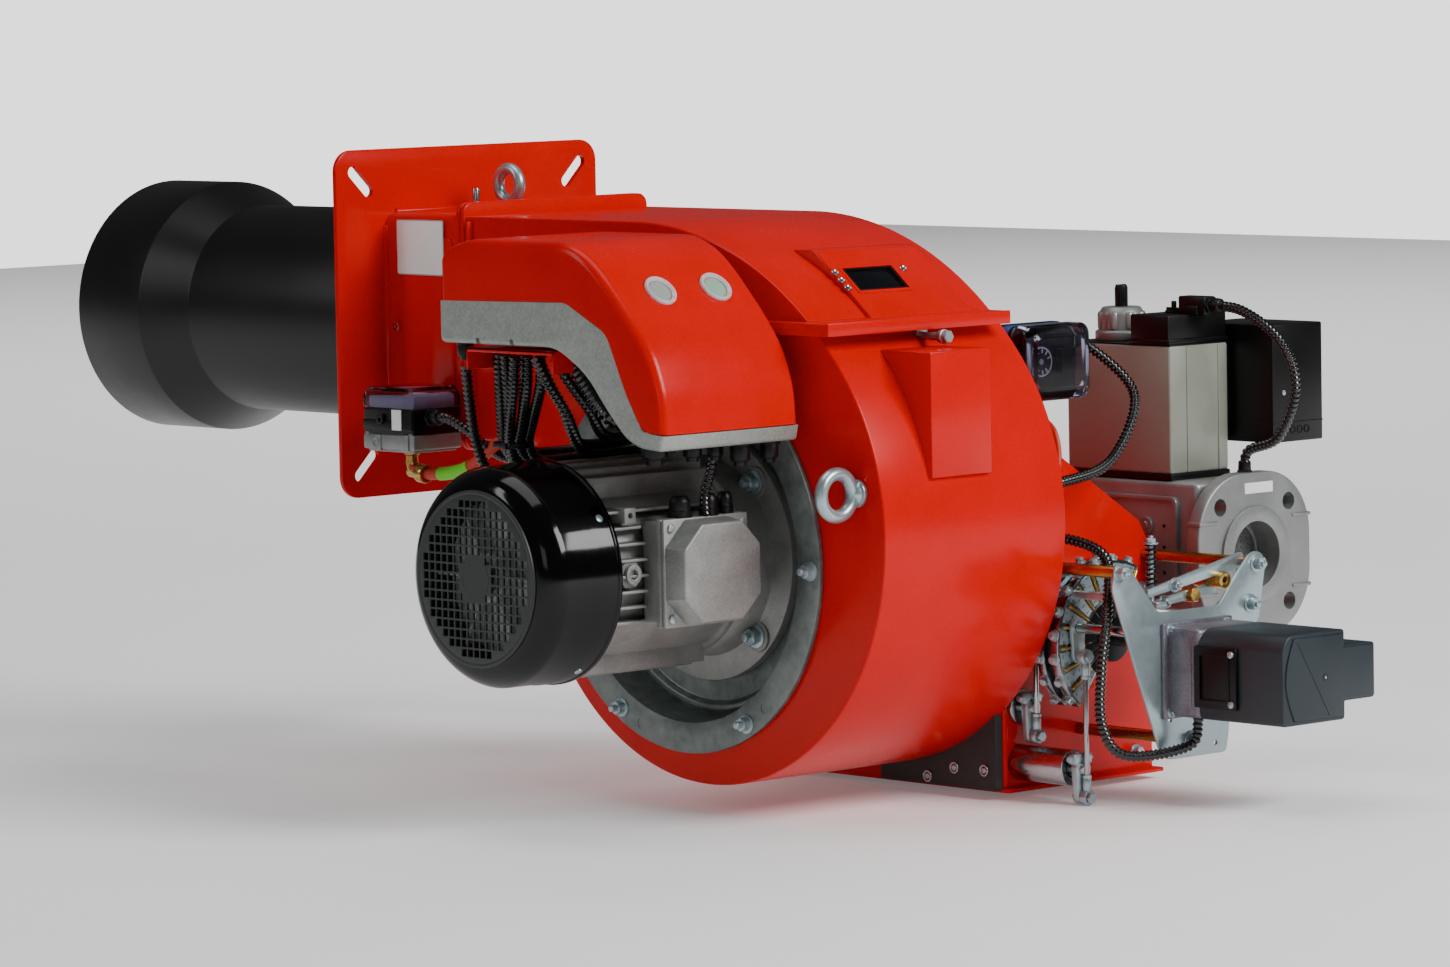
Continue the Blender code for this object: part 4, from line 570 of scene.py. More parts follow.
def volute():
    outer = slab(scroll(0), "Y", DRUM_NEAR, DRUM_FAR, 0.0022, 3, ends_only=True)
    hollow = slab(scroll(DRUM_WALL), "Y", DRUM_NEAR + DRUM_WALL, DRUM_FAR - DRUM_WALL)
    mouth = rod("Y", MOTOR, DRUM_NEAR - 0.01, 0, 0.172, 0, 96)
    intake = rod("Y", MOTOR, 0, DRUM_FAR + 0.01, INTAKE_R, 0, 96)
    shell = carved(outer, hollow, mouth, intake)
    joint = carved(slab(rounded(0.127, 0.127, 0.012), "X", 0.1383, 0.1443, 0.0014),
                   slab(rounded(0.112, 0.112, 0.009), "X", 0.12, 0.16))
    pocket = block((0.600, 0.747), (-0.058, 0.024), (-0.131, -0.009), 0.0018, 2)
    side_rib = block((0.1503, 0.1545), (DRUM_NEAR - 0.006, DRUM_NEAR + 0.002), (-0.100, 0.108), 0.0012)
    assemble("volute_casing", BODY, [(RED, [shell, joint, pocket, side_rib])],
             ["fan_housing"])
    fixings = bolts_at("X", ((-0.119, -0.060), (-0.119, 0.060)), 0.1443, 1, 0.008)
    assemble("casing_screws", BODY, [(STEEL, fixings)])


def drum_space():
    """The room that the volute takes, with its clearance."""
    return slab(scroll(-FIT), "Y", DRUM_NEAR - FIT, DRUM_FAR + 0.004)


def console():
    shelf_low, shelf_high = 0.012, 0.021
    top_z = 0.0845
    outline = filleted([(0.545, 0.010), (0.545, top_z), (0.575, top_z), (0.664, 0.012)], [0.0, 0.002, 0.006, 0.0])
    wedge = slab(outline, "Y", -0.045, 0.093, 0.0012)
    shelf = block((0.500, 0.6885), (-0.1385, 0.1085), (shelf_low, shelf_high - 0.0003), 0.0008)
    lip = joined([block((0.6875, 0.691), (-0.140, 0.110), (shelf_low - 0.004, shelf_high), 0.0012),
                  block((0.560, 0.6880), (-0.140, -0.1370), (shelf_low - 0.004, shelf_high), 0.0012)])
    slope = math.atan2(top_z - shelf_low, 0.664 - 0.575)
    place = Matrix.Translation((0.6106, 0.003, 0.0555)) @ Matrix.Rotation(slope, 4, "Y")
    window = moved(block((-0.0170, 0.0170), (-0.0340, 0.0340), (-0.004, 0.006), 0), place)
    bezel = moved(carved(slab(rounded(0.0205, 0.0372, 0.003), "Z", -0.001, 0.0008, 0.0006),
                         block((-0.0166, 0.0166), (-0.0336, 0.0336), (-0.01, 0.01), 0)), place)
    body = carved(wedge, window, drum_space())
    ledge = carved(shelf, drum_space())
    assemble("display_console_shell", BODY, [(RED, [body, ledge, lip, bezel])],
             ["display_console"])
    screen = moved(block((-0.0164, 0.0164), (-0.0334, 0.0334), (-0.004, -0.0010), 0.0005), place)
    frame_line = moved(carved(block((-0.0164, 0.0164), (-0.0334, 0.0334), (-0.0035, 0.0006), 0.0004),
                              block((-0.0140, 0.0140), (-0.0300, 0.0300), (-0.006, 0.006), 0)), place)
    assemble("display_window", BODY, [(GLASS, [screen]), (PLASTIC, [frame_line])],
             ["display_module"])
    head = [(-0.001, 0), (-0.001, 0.0040), (0.0008, 0.0040), (0.0016, 0.0032), (0.0008, 0.0022), (0.0008, 0)]
    buttons = [moved(turned("Z", (0, 0), head, 20), place @ Matrix.Translation((along, across, 0)))
               for along, across in ((-0.0115, -0.0465), (0.0, -0.0465), (0.0115, -0.0465), (-0.0110, 0.0465))]
    assemble("console_rivets", BODY, [(STEEL, buttons)])
    catch_at = (0.006, 0.0010)
    catch = [rod("X", catch_at, 0.655, 0.698, 0.0040, 0.0008, 24),
             hexagon("X", catch_at, 0.7025, 0.7090, 0.0118, 0.0008),
             turned("X", catch_at, [(0.696, 0), (0.696, 0.0060), (0.7030, 0.0075), (0.7030, 0)], 24, 0.0006),
             block((0.664, 0.672), (-0.001, 0.013), (0.0010, 0.0125), 0.0006)]
    hinge = bolts_at("Z", ((0.515, -0.130), (0.530, -0.130)), 0.021, 1, 0.009)
    assemble("swing_catch", BODY, [(ZINC, [*catch, *hinge])])


def eye_bolts():
    for node, axis, centre, seat, outward, big, wire in (
            ("eye_bolt_front", "Z", (0.0707, 0), 0.115, 1, 0.0165, 0.0060),
            ("eye_bolt_rear", "Y", (0.712, -0.142), DRUM_NEAR, -1, 0.0205, 0.0065)):
        middle = at_axis(axis, centre[0], centre[1], seat + outward * (0.005 + big + wire / 2))
        loop = turned("Z", (0, 0), [(wire * math.sin(math.tau * step / 20),
                                     big + wire * math.cos(math.tau * step / 20)) for step in range(20)], 56)
        face = Matrix.Rotation(math.pi / 2, 4, "X") if axis == "Z" else Matrix.Rotation(math.pi / 2, 4, "Y")
        loop = moved(loop, Matrix.Translation(middle) @ face)
        ends = sorted((seat + outward * FIT, seat + outward * 0.005))
        collar = turned(axis, centre, [(ends[0], 0), (ends[0], big * 2 / 3), (ends[1], big * 2 / 3), (ends[1], 0)],
                        40, 0.001)
        neck_ends = (seat + outward * 0.004, seat + outward * 0.011)
        neck = turned(axis, centre, [(neck_ends[0], 0), (neck_ends[0], big * 0.56), (neck_ends[1], wire * 0.9),
                                     (neck_ends[1], 0)], 32, 0.0008)
        shank = rod(axis, centre, *sorted((seat - outward * 0.003, seat + outward * 0.004)), wire, 0.0003, 20)
        assemble(f"{node}_forging", BODY, [(ZINC, [loop, collar, neck, shank])], [node])


# Motor, from the plate ring on the casing to the grille
COWL_FACE = -0.401
COWL_START = -0.309
BODY_REAR = -0.3213
BODY_FRONT = -0.1318
FLOOR_Y = -0.084
NUT_CIRCLE_R = 0.182
FLANGE_CIRCLE_R = 0.1075
STATOR_R = 0.0565
MOTOR_SHAFT_R = 0.0143


def motor_ring():
    near = DRUM_NEAR - FIT
    profile = [(near - 0.006, 0.195), (near, 0.195), (near, 0.1693), (FLOOR_Y, 0.169), (FLOOR_Y, 0.060),
               (FLOOR_Y - 0.005, 0.060), (FLOOR_Y - 0.005, 0.146), (FLOOR_Y - 0.011, 0.150),
               (FLOOR_Y - 0.011, 0.155), (FLOOR_Y - 0.005, 0.160), (near - 0.006, 0.164)]
    plate = turned("Y", MOTOR, profile, 128, 0.0012)
    holes = [rod("Y", place, near - 0.0066, near - 0.0055, 0.0055, 0, 24)
             for place in ring_points(MOTOR, NUT_CIRCLE_R, 6, 9)]
    assemble("motor_ring", BODY, [(RING, [carved(plate, *holes)])], ["motor_plate"])
    nuts = bolts_at("Y", ring_points(MOTOR, NUT_CIRCLE_R, 6, -1), near - 0.006, -1, 0.0125, 0.006)
    assemble("ring_nuts", BODY, [(ZINC, nuts)])
    start = FLOOR_Y - 0.0053
    flange = turned("Y", MOTOR, [(start, 0.125), (start, 0.060), (BODY_FRONT, 0.060), (BODY_FRONT, 0.091),
                                 (BODY_FRONT + 0.010, 0.098), (start - 0.013, 0.100), (start - 0.0105, 0.125)],
                    96, 0.0012)
    corners = ring_points(MOTOR, FLANGE_CIRCLE_R, 4, 45)
    pad = [(start - 0.001, 0), (start - 0.001, 0.0165), (start - 0.014, 0.0155), (start - 0.014, 0)]
    pads = [turned("Y", place, pad, 32, 0.001) for place in corners]
    bolts = bolts_at("Y", corners, start - 0.014, -1, 0.015, 0.006)
    assemble("motor_shield", BODY, [(CAST, [flange, *pads]), (ZINC, bolts)], ["motor_flange"])


def motor_frame():
    core_r, fin_r = 0.091, 0.1065
    rear, front = BODY_REAR, BODY_FRONT - 0.0003
    core = rod("Y", MOTOR, rear, front, core_r, 0.001, 96)
    shaft_hole = rod("Y", MOTOR, rear - 0.01, front + 0.01, MOTOR_SHAFT_R, 0, 32)
    stator = rod("Y", MOTOR, rear + 0.008, front + 0.01, STATOR_R, 0, 64)
    body = carved(core, shaft_hole, stator)
    fins = []
    for side in (1, -1):
        for level in range(-4, 5):
            z = level * 0.0152
            inner = math.sqrt(core_r ** 2 - z ** 2) - 0.004
            outer = math.sqrt(fin_r ** 2 - z ** 2)
            near = rear + 0.012 if side > 0 else rear + 0.006
            fins.append(block(sorted((MOTOR[0] + side * inner, MOTOR[0] + side * outer)), (near, front - 0.010),
                              (MOTOR[1] + z - 0.0014, MOTOR[1] + z + 0.0014), 0.0008, 2))
    for side in (1, -1):
        for level in range(-3, 4):
            x = level * 0.0172
            inner = math.sqrt(core_r ** 2 - x ** 2) - 0.004
            outer = math.sqrt(fin_r ** 2 - x ** 2) - 0.001
            fins.append(block((MOTOR[0] + x - 0.0034, MOTOR[0] + x + 0.0034), (rear + 0.012, front - 0.006),
                              sorted((MOTOR[1] + side * inner, MOTOR[1] + side * outer)), 0.0012, 2))
    for side_x, side_z in ((1, 1), (-1, 1), (-1, -1), (1, -1)):
        for step, (reach_x, reach_z) in enumerate(((0.0790, 0.0700), (0.0700, 0.0790), (0.0745, 0.0745))):
            fins.append(block(sorted((MOTOR[0] + side_x * 0.050, MOTOR[0] + side_x * reach_x)),
                              (rear + 0.012, front - 0.004 - 0.006 * step),
                              sorted((MOTOR[1] + side_z * 0.050, MOTOR[1] + side_z * reach_z)), 0.0014, 2))
    boss_at = (-0.2925, MOTOR[1] + 0.002)
    boss = [hexagon("X", boss_at, MOTOR[0] + 0.080, MOTOR[0] + 0.1035, 0.026, 0.0015),
            ring("X", boss_at, MOTOR[0] + 0.1025, MOTOR[0] + 0.1085, 0.0098, 0.0048, 0.0008, 32)]
    lug = carved(block((MOTOR[0] + 0.060, MOTOR[0] + 0.0960), (-0.2925, -0.2780),
                       (MOTOR[1] + 0.0500, MOTOR[1] + 0.0650), 0.001),
                 rod("X", (-0.2852, MOTOR[1] + 0.0575), MOTOR[0] + 0.085, MOTOR[0] + 0.100, 0.0030, 0, 16))
    seat = block((0.560, 0.612), (-0.2723, -0.1617), (-0.2683, -0.1627), 0)
    collar = rod("Y", MOTOR, front - 0.008, front, 0.0955, 0.0012, 96)
    shell = carved(collar, rod("Y", MOTOR, front - 0.02, front + 0.01, STATOR_R, 0, 64))
    solid = carved(joined(fins), seat)
    lap = ring("Y", MOTOR, BODY_REAR - 0.004, COWL_START + 0.0003, 0.114, 0.1045, 0, 96)
    solid = carved(solid, lap)
    assemble("motor_frame", BODY, [(CAST, [body, solid, shell, *boss, lug])], ["motor_body"])


def terminal():
    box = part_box("terminal_box")
    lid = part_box("terminal_lid")
    y, z = (box[0].y, box[1].y), (box[0].z, box[1].z)
    rim_x = box[1].x - 0.014
    body = block((box[0].x, rim_x - 0.0065), (y[0] + 0.0035, y[1] - 0.0035), (z[0] + 0.0035, z[1] - 0.0035), 0.003, 3)
    lower_rim = block((rim_x - 0.0080, rim_x - 0.0006), y, z, 0.0014, 2)
    assemble("terminal_casing", BODY, [(CAST, [body, lower_rim])], ["terminal_box"])
    plate = block((rim_x, rim_x + 0.0045), y, z, 0.0014, 2)
    centre = ((y[0] + y[1]) / 2, (z[0] + z[1]) / 2)
    half = ((y[1] - y[0]) / 2, (z[1] - z[0]) / 2)
    corner = 0.026
    raised = []
    for share in (0.975, 0.905):
        points = []
        for side_y, side_z in ((1, 1), (-1, 1), (-1, -1), (1, -1)):
            pair = [(half[0], half[1] - corner), (half[0] - corner, half[1])]
            if side_y != side_z:
                pair.reverse()
            points += [(centre[0] + side_y * a * share, centre[1] + side_z * b * share) for a, b in pair]
        raised.append(points)
    bm = bmesh.new()
    low_ring = [bm.verts.new(at_axis("X", a, b, rim_x + 0.004)) for a, b in raised[0]]
    high_ring = [bm.verts.new(at_axis("X", a, b, lid[1].x)) for a, b in raised[1]]
    low_face = bm.faces.new(low_ring)
    high_face = bm.faces.new(high_ring)
    bmesh.ops.bridge_loops(bm, edges=[*low_face.edges, *high_face.edges])
    bmesh.ops.recalc_face_normals(bm, faces=bm.faces)
    soften(bm, 0.0020, 3)
    screws = []
    for side_y in (1, -1):
        for side_z in (1, -1):
            at = (centre[0] + side_y * (half[0] - 0.0085), centre[1] + side_z * (half[1] - 0.0085))
            screws.append(rod("X", at, rim_x + 0.004, rim_x + 0.0072, 0.0042, 0.0008, 24))
            screws.append(rod("X", at, rim_x + 0.007, rim_x + 0.0078, 0.0018, 0.0003, 6))
    assemble("terminal_cover", BODY, [(CAST, [plate, bm]), (ZINC, screws)], ["terminal_lid"])
    glands = []
    for x, y_at, size in ((0.585, -0.240, 0.011), (0.588, -0.205, 0.009), (0.586, -0.182, 0.008)):
        top = z[1]
        glands.append(hexagon("Z", (x, y_at), top - 0.001, top + 0.007, size * 2.0, 0.001))
        glands.append(turned("Z", (x, y_at), [(top + 0.006, 0), (top + 0.006, size), (top + 0.016, size * 0.95),
                                              (top + 0.021, size * 0.62), (top + 0.021, 0)], 24, 0.0008))
    assemble("terminal_glands", BODY, [(PLASTIC, glands)])


def cowl():
    bend = COWL_FACE + 0.026
    wall = 0.0022
    profile = [(COWL_START, 0.110), (COWL_START - 0.004, 0.110), (COWL_START - 0.005, 0.1085),
               (COWL_START - 0.026, 0.1085), (COWL_START - 0.028, 0.1075)]
    for step in range(9):
        angle = math.pi / 2 * step / 8
        profile.append((bend - 0.024 * math.sin(angle) ** 1.2, 0.1075 - 0.0235 * (1 - math.cos(angle)) ** 0.9))
    inner = [(along + wall * 0.7, radius - wall) for along, radius in reversed(profile)]
    shell = turned("Y", MOTOR, [*profile, *inner], 128, 0.0006)
    face_y = COWL_FACE + 0.0022
    screws = []
    for place in ring_points(MOTOR, FLANGE_CIRCLE_R, 4, 32):
        direction = Vector((place[0] - MOTOR[0], 0, place[1] - MOTOR[1])).normalized()
        facing = direction.to_track_quat("Z", "Y").to_matrix().to_4x4()
        matrix = Matrix.Translation((place[0], COWL_START - 0.013, place[1])) @ facing
        screws.append(moved(rod("Z", (0, 0), -0.002, 0.0022, 0.0042, 0.001, 20), matrix))
    disc = rod("Y", MOTOR, COWL_FACE, face_y, 0.0845, 0.0005, 128)
    pitch, hole = 0.0090, 0.0071
    cutters = []
    for row in range(-9, 10):
        for column in range(-9, 10):
            far = math.hypot(abs(row) * pitch + hole / 2, abs(column) * pitch + hole / 2)
            if far > 0.0808 or math.hypot(row * pitch, column * pitch) < 0.0205:
                continue
            x, z = MOTOR[0] + column * pitch, MOTOR[1] + row * pitch
            cutters.append(block((x - hole / 2, x + hole / 2), (COWL_FACE - 0.002, face_y + 0.002),
                                 (z - hole / 2, z + hole / 2), 0))
    grille = carved(disc, joined(cutters))
    hub = turned("Y", MOTOR, [(COWL_FACE + 0.001, 0), (COWL_FACE + 0.001, 0.0205), (COWL_FACE - 0.0002, 0.0198),
                              (COWL_FACE - 0.0002, 0.0180), (COWL_FACE + 0.0005, 0.0175), (COWL_FACE + 0.0005, 0)],
                 64)
    hub_pin = rod("Y", MOTOR, COWL_FACE + 0.0001, COWL_FACE + 0.001, 0.0022, 0.0003, 16)
    rim = ring("Y", MOTOR, COWL_FACE - 0.0002, COWL_FACE + 0.003, 0.0858, 0.0815, 0.0006, 128)
    assemble("cowl_shell", BODY, [(COWL_BLACK, [shell]), (GRILLE, [grille, rim, hub]),
                                                  (ZINC, [*screws, hub_pin])], ["fan_cowl"])


def rotating_parts():
    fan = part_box("cooling_fan")
    mid = (fan[0].y + fan[1].y) / 2
    hub = ring("Y", MOTOR, fan[0].y, fan[1].y, 0.024, MOTOR_SHAFT_R, 0.0015, 48)
    disc = ring("Y", MOTOR, mid + 0.006, mid + 0.008, 0.076, 0.020, 0.0005, 64)
    blades = []
    for index in range(6):
        blade = block((0.020, 0.077), (fan[0].y + 0.003, fan[1].y - 0.003), (-0.0011, 0.0011), 0.0008)
        turn = Matrix.Translation((MOTOR[0], 0, MOTOR[1])) @ Matrix.Rotation(math.tau * index / 6, 4, "Y")
        blades.append(moved(blade, turn))
    assemble("shaft_fan", "rotor", [(FAN, [hub, disc, *blades])], ["cooling_fan"])


# Electrical panel: hood, hammered tray, lamps and the cables that leave it
# start and length along X and Z, both ends in Y
PANEL_X = (0.335, 0.321)
PANEL_Z = (-0.092, 0.196)
PANEL_Y = (-0.325, -0.146)
# outlines in shares of that length and height
HOOD_TOP = ((0, 0.689), (0, 0.91), (0.037, 0.959), (0.128, 1), (0.573, 1), (0.667, 0.939), (0.745, 0.837),
            (0.869, 0.628), (0.95, 0.459), (0.994, 0.255), (1, 0.082))
RIM = ((0, 0.689), (0.576, 0.704), (0.757, 0.561), (0.841, 0.27), (0.91, 0.092), (1, 0.077))
TRAY_LOW = ((0.988, 0), (0.897, 0.01), (0.832, 0.051), (0.748, 0.189), (0.66, 0.357), (0.526, 0.48), (0, 0.48))


def panel_points(shares):
    return [(PANEL_X[0] + PANEL_X[1] * x, PANEL_Z[0] + PANEL_Z[1] * z) for x, z in shares]


def shell_slab(top, seam, edge, steps):
    """A slab whose ends are rounded only along the first outline, and stay crisp along the seam."""
    bm = slab([*top, *seam], "Y", *PANEL_Y)
    places = [Vector((x, z)) for x, z in top]

    def on_top(item):
        one, two = item.verts
        if abs(one.co.y - two.co.y) > MM / 10:
            return False
        return all(any((Vector((vert.co.x, vert.co.z)) - place).length < MM / 10 for place in places)
                   for vert in item.verts)
    return soften(bm, edge, steps, only=on_top)


def hood_and_tray():
    top = panel_points(HOOD_TOP)
    rim = panel_points(RIM)
    low = panel_points(TRAY_LOW)
    radii = [0, 0.010, 0.012, 0.020, 0.030, 0.030, 0.040, 0.040, 0.040, 0.030, 0]
    soft_top = [top[0], *filleted(top, radii, 5)[1:-1], top[-1]]
    seam = [(x, z + MM * 0.6) for x, z in reversed(rim)][1:-1]
    seam = filleted([soft_top[-1], *seam, soft_top[0]], [0, 0.004, 0.010, 0.012, 0.012, 0], 4)[1:-1]
    hood = shell_slab(soft_top, seam, 0.0095, 5)
    assemble("hood_pressing", BODY, [(RED, [hood])], ["panel_hood"], 40)
    low_soft = filleted([rim[-1], *low, rim[0]], [0, 0.004, 0.008, 0.010, 0.014, 0.020, 0.016, 0.007, 0], 4)[1:-1]
    upper = filleted([rim[0], *rim[1:-1], rim[-1]], [0, 0.004, 0.010, 0.012, 0.012, 0], 4)[1:-1]
    tray = shell_slab([rim[-1], *low_soft, rim[0]], upper, 0.0050, 4)
    notches = [block((x - 0.0028, x + 0.0028), (PANEL_Y[0] - 0.004, PANEL_Y[0] + 0.012), (-0.0005, 0.0085),
                     0.002, 3) for x in (0.3915, 0.4415)]
    tray = carved(tray, *notches)
    arm = block((0.380, 0.485), (PANEL_Y[1] - 0.003, DRUM_NEAR - FIT), (0.012, 0.040), 0.002)
    assemble("tray_pressing", BODY, [(HAMMER, [tray, arm])], ["panel_tray"], 40)
    back = block((0.366, 0.494), (-0.318, -0.258), (-0.0045, -0.0018), 0.0006)
    front = block((0.366, 0.494), (-0.318, -0.3155), (-0.0065, -0.0018), 0.0006)
    sides = [block((x, x + 0.0025), (-0.318, -0.262), (-0.024, -0.0018), 0.0006) for x in (0.366, 0.4915)]
    assemble("cable_bracket", BODY, [(RED, [back, front, *sides])])


def lamps():
    top = panel_points(HOOD_TOP)
    upper, lower = Vector(top[6]), Vector(top[7])
    middle = upper.lerp(lower, 0.4)
    slope = math.atan2(lower.x - upper.x, upper.y - lower.y)
    for node, y, lens in (("lamp_near", -0.265, LENS), ("lamp_far", -0.193, LENS_GREEN)):
        place = Matrix.Translation((middle.x, y, middle.y)) @ Matrix.Rotation(math.pi / 2 - slope, 4, "Y")
        bezel = turned("Z", (0, 0), [(0.0, 0.0172), (0.0020, 0.0174), (0.0036, 0.0164), (0.0036, 0.0150),
                                     (0.0016, 0.0128), (0.0, 0.0126)], 64)
        lens_shape = turned("Z", (0, 0), [(0.0, 0), (0.0, 0.0122), (0.0008, 0.0120), (0.0012, 0.0100),
                                          (0.0014, 0.0060), (0.0015, 0)], 48)
        assemble(f"{node}_lens", BODY, [(CLEAR_RING, [moved(bezel, place)]),
                                                     (lens, [moved(lens_shape, place)])], [node])


def gland(axis, centre, seat, outward, size):
    """A cable gland: a hexagon on the housing, a ribbed dome nut and a sleeve."""
    def span(start, stop):
        return sorted((seat + outward * start, seat + outward * stop))
    profile = [(seat + outward * 0.004, 0), (seat + outward * 0.004, size * 0.98),
               (seat + outward * (0.004 + size * 1.3), size * 0.94),
               (seat + outward * (0.004 + size * 1.5), size * 0.72), (seat + outward * (0.004 + size * 1.5), 0)]
    return [hexagon(axis, centre, *span(-0.0005, 0.0045), size * 2.05, 0.0008),
            turned(axis, centre, profile, 12, 0.0006),
            rod(axis, centre, *span(0.004, 0.004 + size * 1.9), size * 0.6, 0.0006, 20)]


def corrugated(name, points, radius, nodes=(), look=None, pitch=0.0050, depth=0.0013):
    """A ribbed conduit on its route.

    Real ribs are about 3 mm apart; they are drawn at 5 mm so that they show in the picture."""
    line = smooth_route(points, pitch / 2)
    total = sum((b - a).length for a, b in zip(line, line[1:]))
    count = max(8, round(total / (pitch / 4)))
    dense = resampled(line, count)
    ribs = (radius, radius, radius - depth, radius - depth)
    piece = assemble(name, BODY, [(look or CONDUIT, [tube(dense, ribs, 14)])], nodes, 60)
    return piece


def resampled(line, count):
    """The same line in equal steps."""
    lengths = [0.0]
    for a, b in zip(line, line[1:]):
        lengths.append(lengths[-1] + (b - a).length)
    made, index = [], 0
    for step in range(count + 1):
        want = lengths[-1] * step / count
        while index < len(lengths) - 2 and lengths[index + 1] < want:
            index += 1
        span = lengths[index + 1] - lengths[index]
        made.append(line[index].lerp(line[index + 1], (want - lengths[index]) / span if span else 0))
    return made


def plain_hose(name, points, radius, look, nodes=()):
    line = resampled(smooth_route(points, 0.004), 40)
    piece = assemble(name, BODY, [(look, [tube(line, (radius,), 20)])], nodes, 60)
    return piece


CABLE_R = 0.0057
HOSE_R = 0.0055
CABLES = {
    "cable_gland_side": ((0.3268, -0.285, -0.024), (0.328, -0.282, -0.060), (0.332, -0.278, -0.100),
                         (0.338, -0.262, -0.140), (0.330, -0.215, -0.175), (0.322, -0.165, -0.185),
                         (0.320, -0.1275, -0.186)),
    "cable_a": ((0.382, -0.290, -0.010), (0.378, -0.286, -0.040), (0.364, -0.272, -0.078), (0.356, -0.262, -0.101),
                (0.350, -0.235, -0.126), (0.340, -0.180, -0.146), (0.336, -0.1275, -0.150)),
    "cable_b": ((0.398, -0.296, -0.010), (0.394, -0.290, -0.040), (0.378, -0.274, -0.078), (0.368, -0.264, -0.101),
                (0.364, -0.240, -0.126), (0.358, -0.185, -0.140), (0.354, -0.1275, -0.142)),
    "cable_c": ((0.414, -0.284, -0.010), (0.408, -0.280, -0.040), (0.384, -0.262, -0.078), (0.370, -0.252, -0.101),
                (0.352, -0.225, -0.112), (0.330, -0.170, -0.116), (0.322, -0.1275, -0.116)),
    "cable_d": ((0.432, -0.296, -0.010), (0.424, -0.291, -0.040), (0.398, -0.276, -0.078), (0.382, -0.266, -0.101),
                (0.374, -0.240, -0.118), (0.366, -0.185, -0.120), (0.360, -0.1275, -0.118)),
    "cable_e": ((0.452, -0.300, -0.010), (0.462, -0.296, -0.034), (0.470, -0.284, -0.062), (0.462, -0.266, -0.086),
                (0.446, -0.240, -0.099), (0.425, -0.180, -0.102), (0.416, -0.1275, -0.098)),
    "cable_g": ((0.424, -0.306, -0.010), (0.414, -0.300, -0.040), (0.392, -0.286, -0.078), (0.3765, -0.272, -0.101),
                (0.362, -0.246, -0.130), (0.346, -0.190, -0.156), (0.340, -0.1275, -0.166)),
    "cable_h": ((0.444, -0.290, -0.010), (0.436, -0.284, -0.040), (0.402, -0.266, -0.078), (0.386, -0.257, -0.101),
                (0.380, -0.236, -0.120), (0.372, -0.185, -0.138), (0.368, -0.1275, -0.142)),
    "cable_i": ((0.462, -0.312, -0.010), (0.472, -0.306, -0.034), (0.482, -0.292, -0.064), (0.474, -0.272, -0.092),
                (0.456, -0.240, -0.108), (0.434, -0.180, -0.112), (0.424, -0.1275, -0.112)),
    "cable_f": ((0.472, -0.296, -0.010), (0.485, -0.290, -0.034), (0.494, -0.272, -0.062), (0.484, -0.250, -0.084),
                (0.466, -0.215, -0.094), (0.446, -0.165, -0.090), (0.438, -0.1275, -0.084)),
}


def cables():
    for name, points in CABLES.items():
        stands_for = ["conduit_bundle"] if name == "cable_a" else []
        corrugated(name, points, CABLE_R, nodes=stands_for)
    corrugated("cable_wide", ((0.484, -0.284, -0.010), (0.504, -0.284, -0.036), (0.530, -0.278, -0.066),
                              (0.548, -0.250, -0.076), (0.552, -0.200, -0.078), (0.548, -0.155, -0.072),
                              (0.546, -0.1275, -0.066)), 0.0092, pitch=0.0060, depth=0.0016)
    tie = ring("Z", (0.3692, -0.263), -0.1035, -0.0985, 0.0235, 0.0220, 0.0006, 32)
    stretched = moved(tie, Matrix.Translation((0.3692, -0.263, -0.101)) @ Matrix.Scale(0.70, 4, (0, 1, 0))
                      @ Matrix.Translation((-0.3692, 0.263, 0.101)))
    head = block((0.372, 0.379), (-0.281, -0.274), (-0.1045, -0.0975), 0.001)
    assemble("cable_tie", BODY, [(PLASTIC, [stretched, head])])
    glands = gland("Z", (0.3268, -0.285), 0.0022, -1, 0.0085)
    glands += gland("Z", (0.6100, -0.215), -0.0885, -1, 0.0085)
    for x, y, size in ((0.600, -0.285, 0.0140), (0.612, -0.247, 0.0100),
                       (0.634, -0.205, 0.0105), (0.640, -0.172, 0.0095)):
        glands += gland("Z", (x, y), panel_floor(x), -1, size)
    assemble("panel_glands", BODY, [(PLASTIC, glands)])
    corrugated("motor_cable", ((0.610, -0.215, -0.0880), (0.603, -0.215, -0.118), (0.594, -0.215, -0.142),
                               (0.594, -0.215, -0.1618)), 0.0053, nodes=["motor_conduit"])


def panel_floor(x):
    """The height of the tray's underside at a place along the panel."""
    low = sorted(panel_points(TRAY_LOW))
    for (x0, z0), (x1, z1) in zip(low, low[1:]):
        if x0 <= x <= x1:
            return z0 + (z1 - z0) * (x - x0) / (x1 - x0) + 0.001
    return low[-1][1]


# Air box, dampers, linkage and regulator
SIDE_X = 0.655
DAMPER_Y = 0.150
SHORT_Z, LONG_Z = -0.378, -0.434
SHORT_X, LONG_X = 0.667, 0.735
CAM = (0.2065, -0.311)
CARRIER_X = 0.805
CARRIER_REACH = (0.145, 0.120)
LEVER_ARM = 0.028
SHORT_ROD, LONG_ROD = 0.102, 0.140
SHAFT_R = 0.006
SHAFT_HOLE_R = 0.0063
PIVOT_R = 0.005
PIN_R = 0.0035


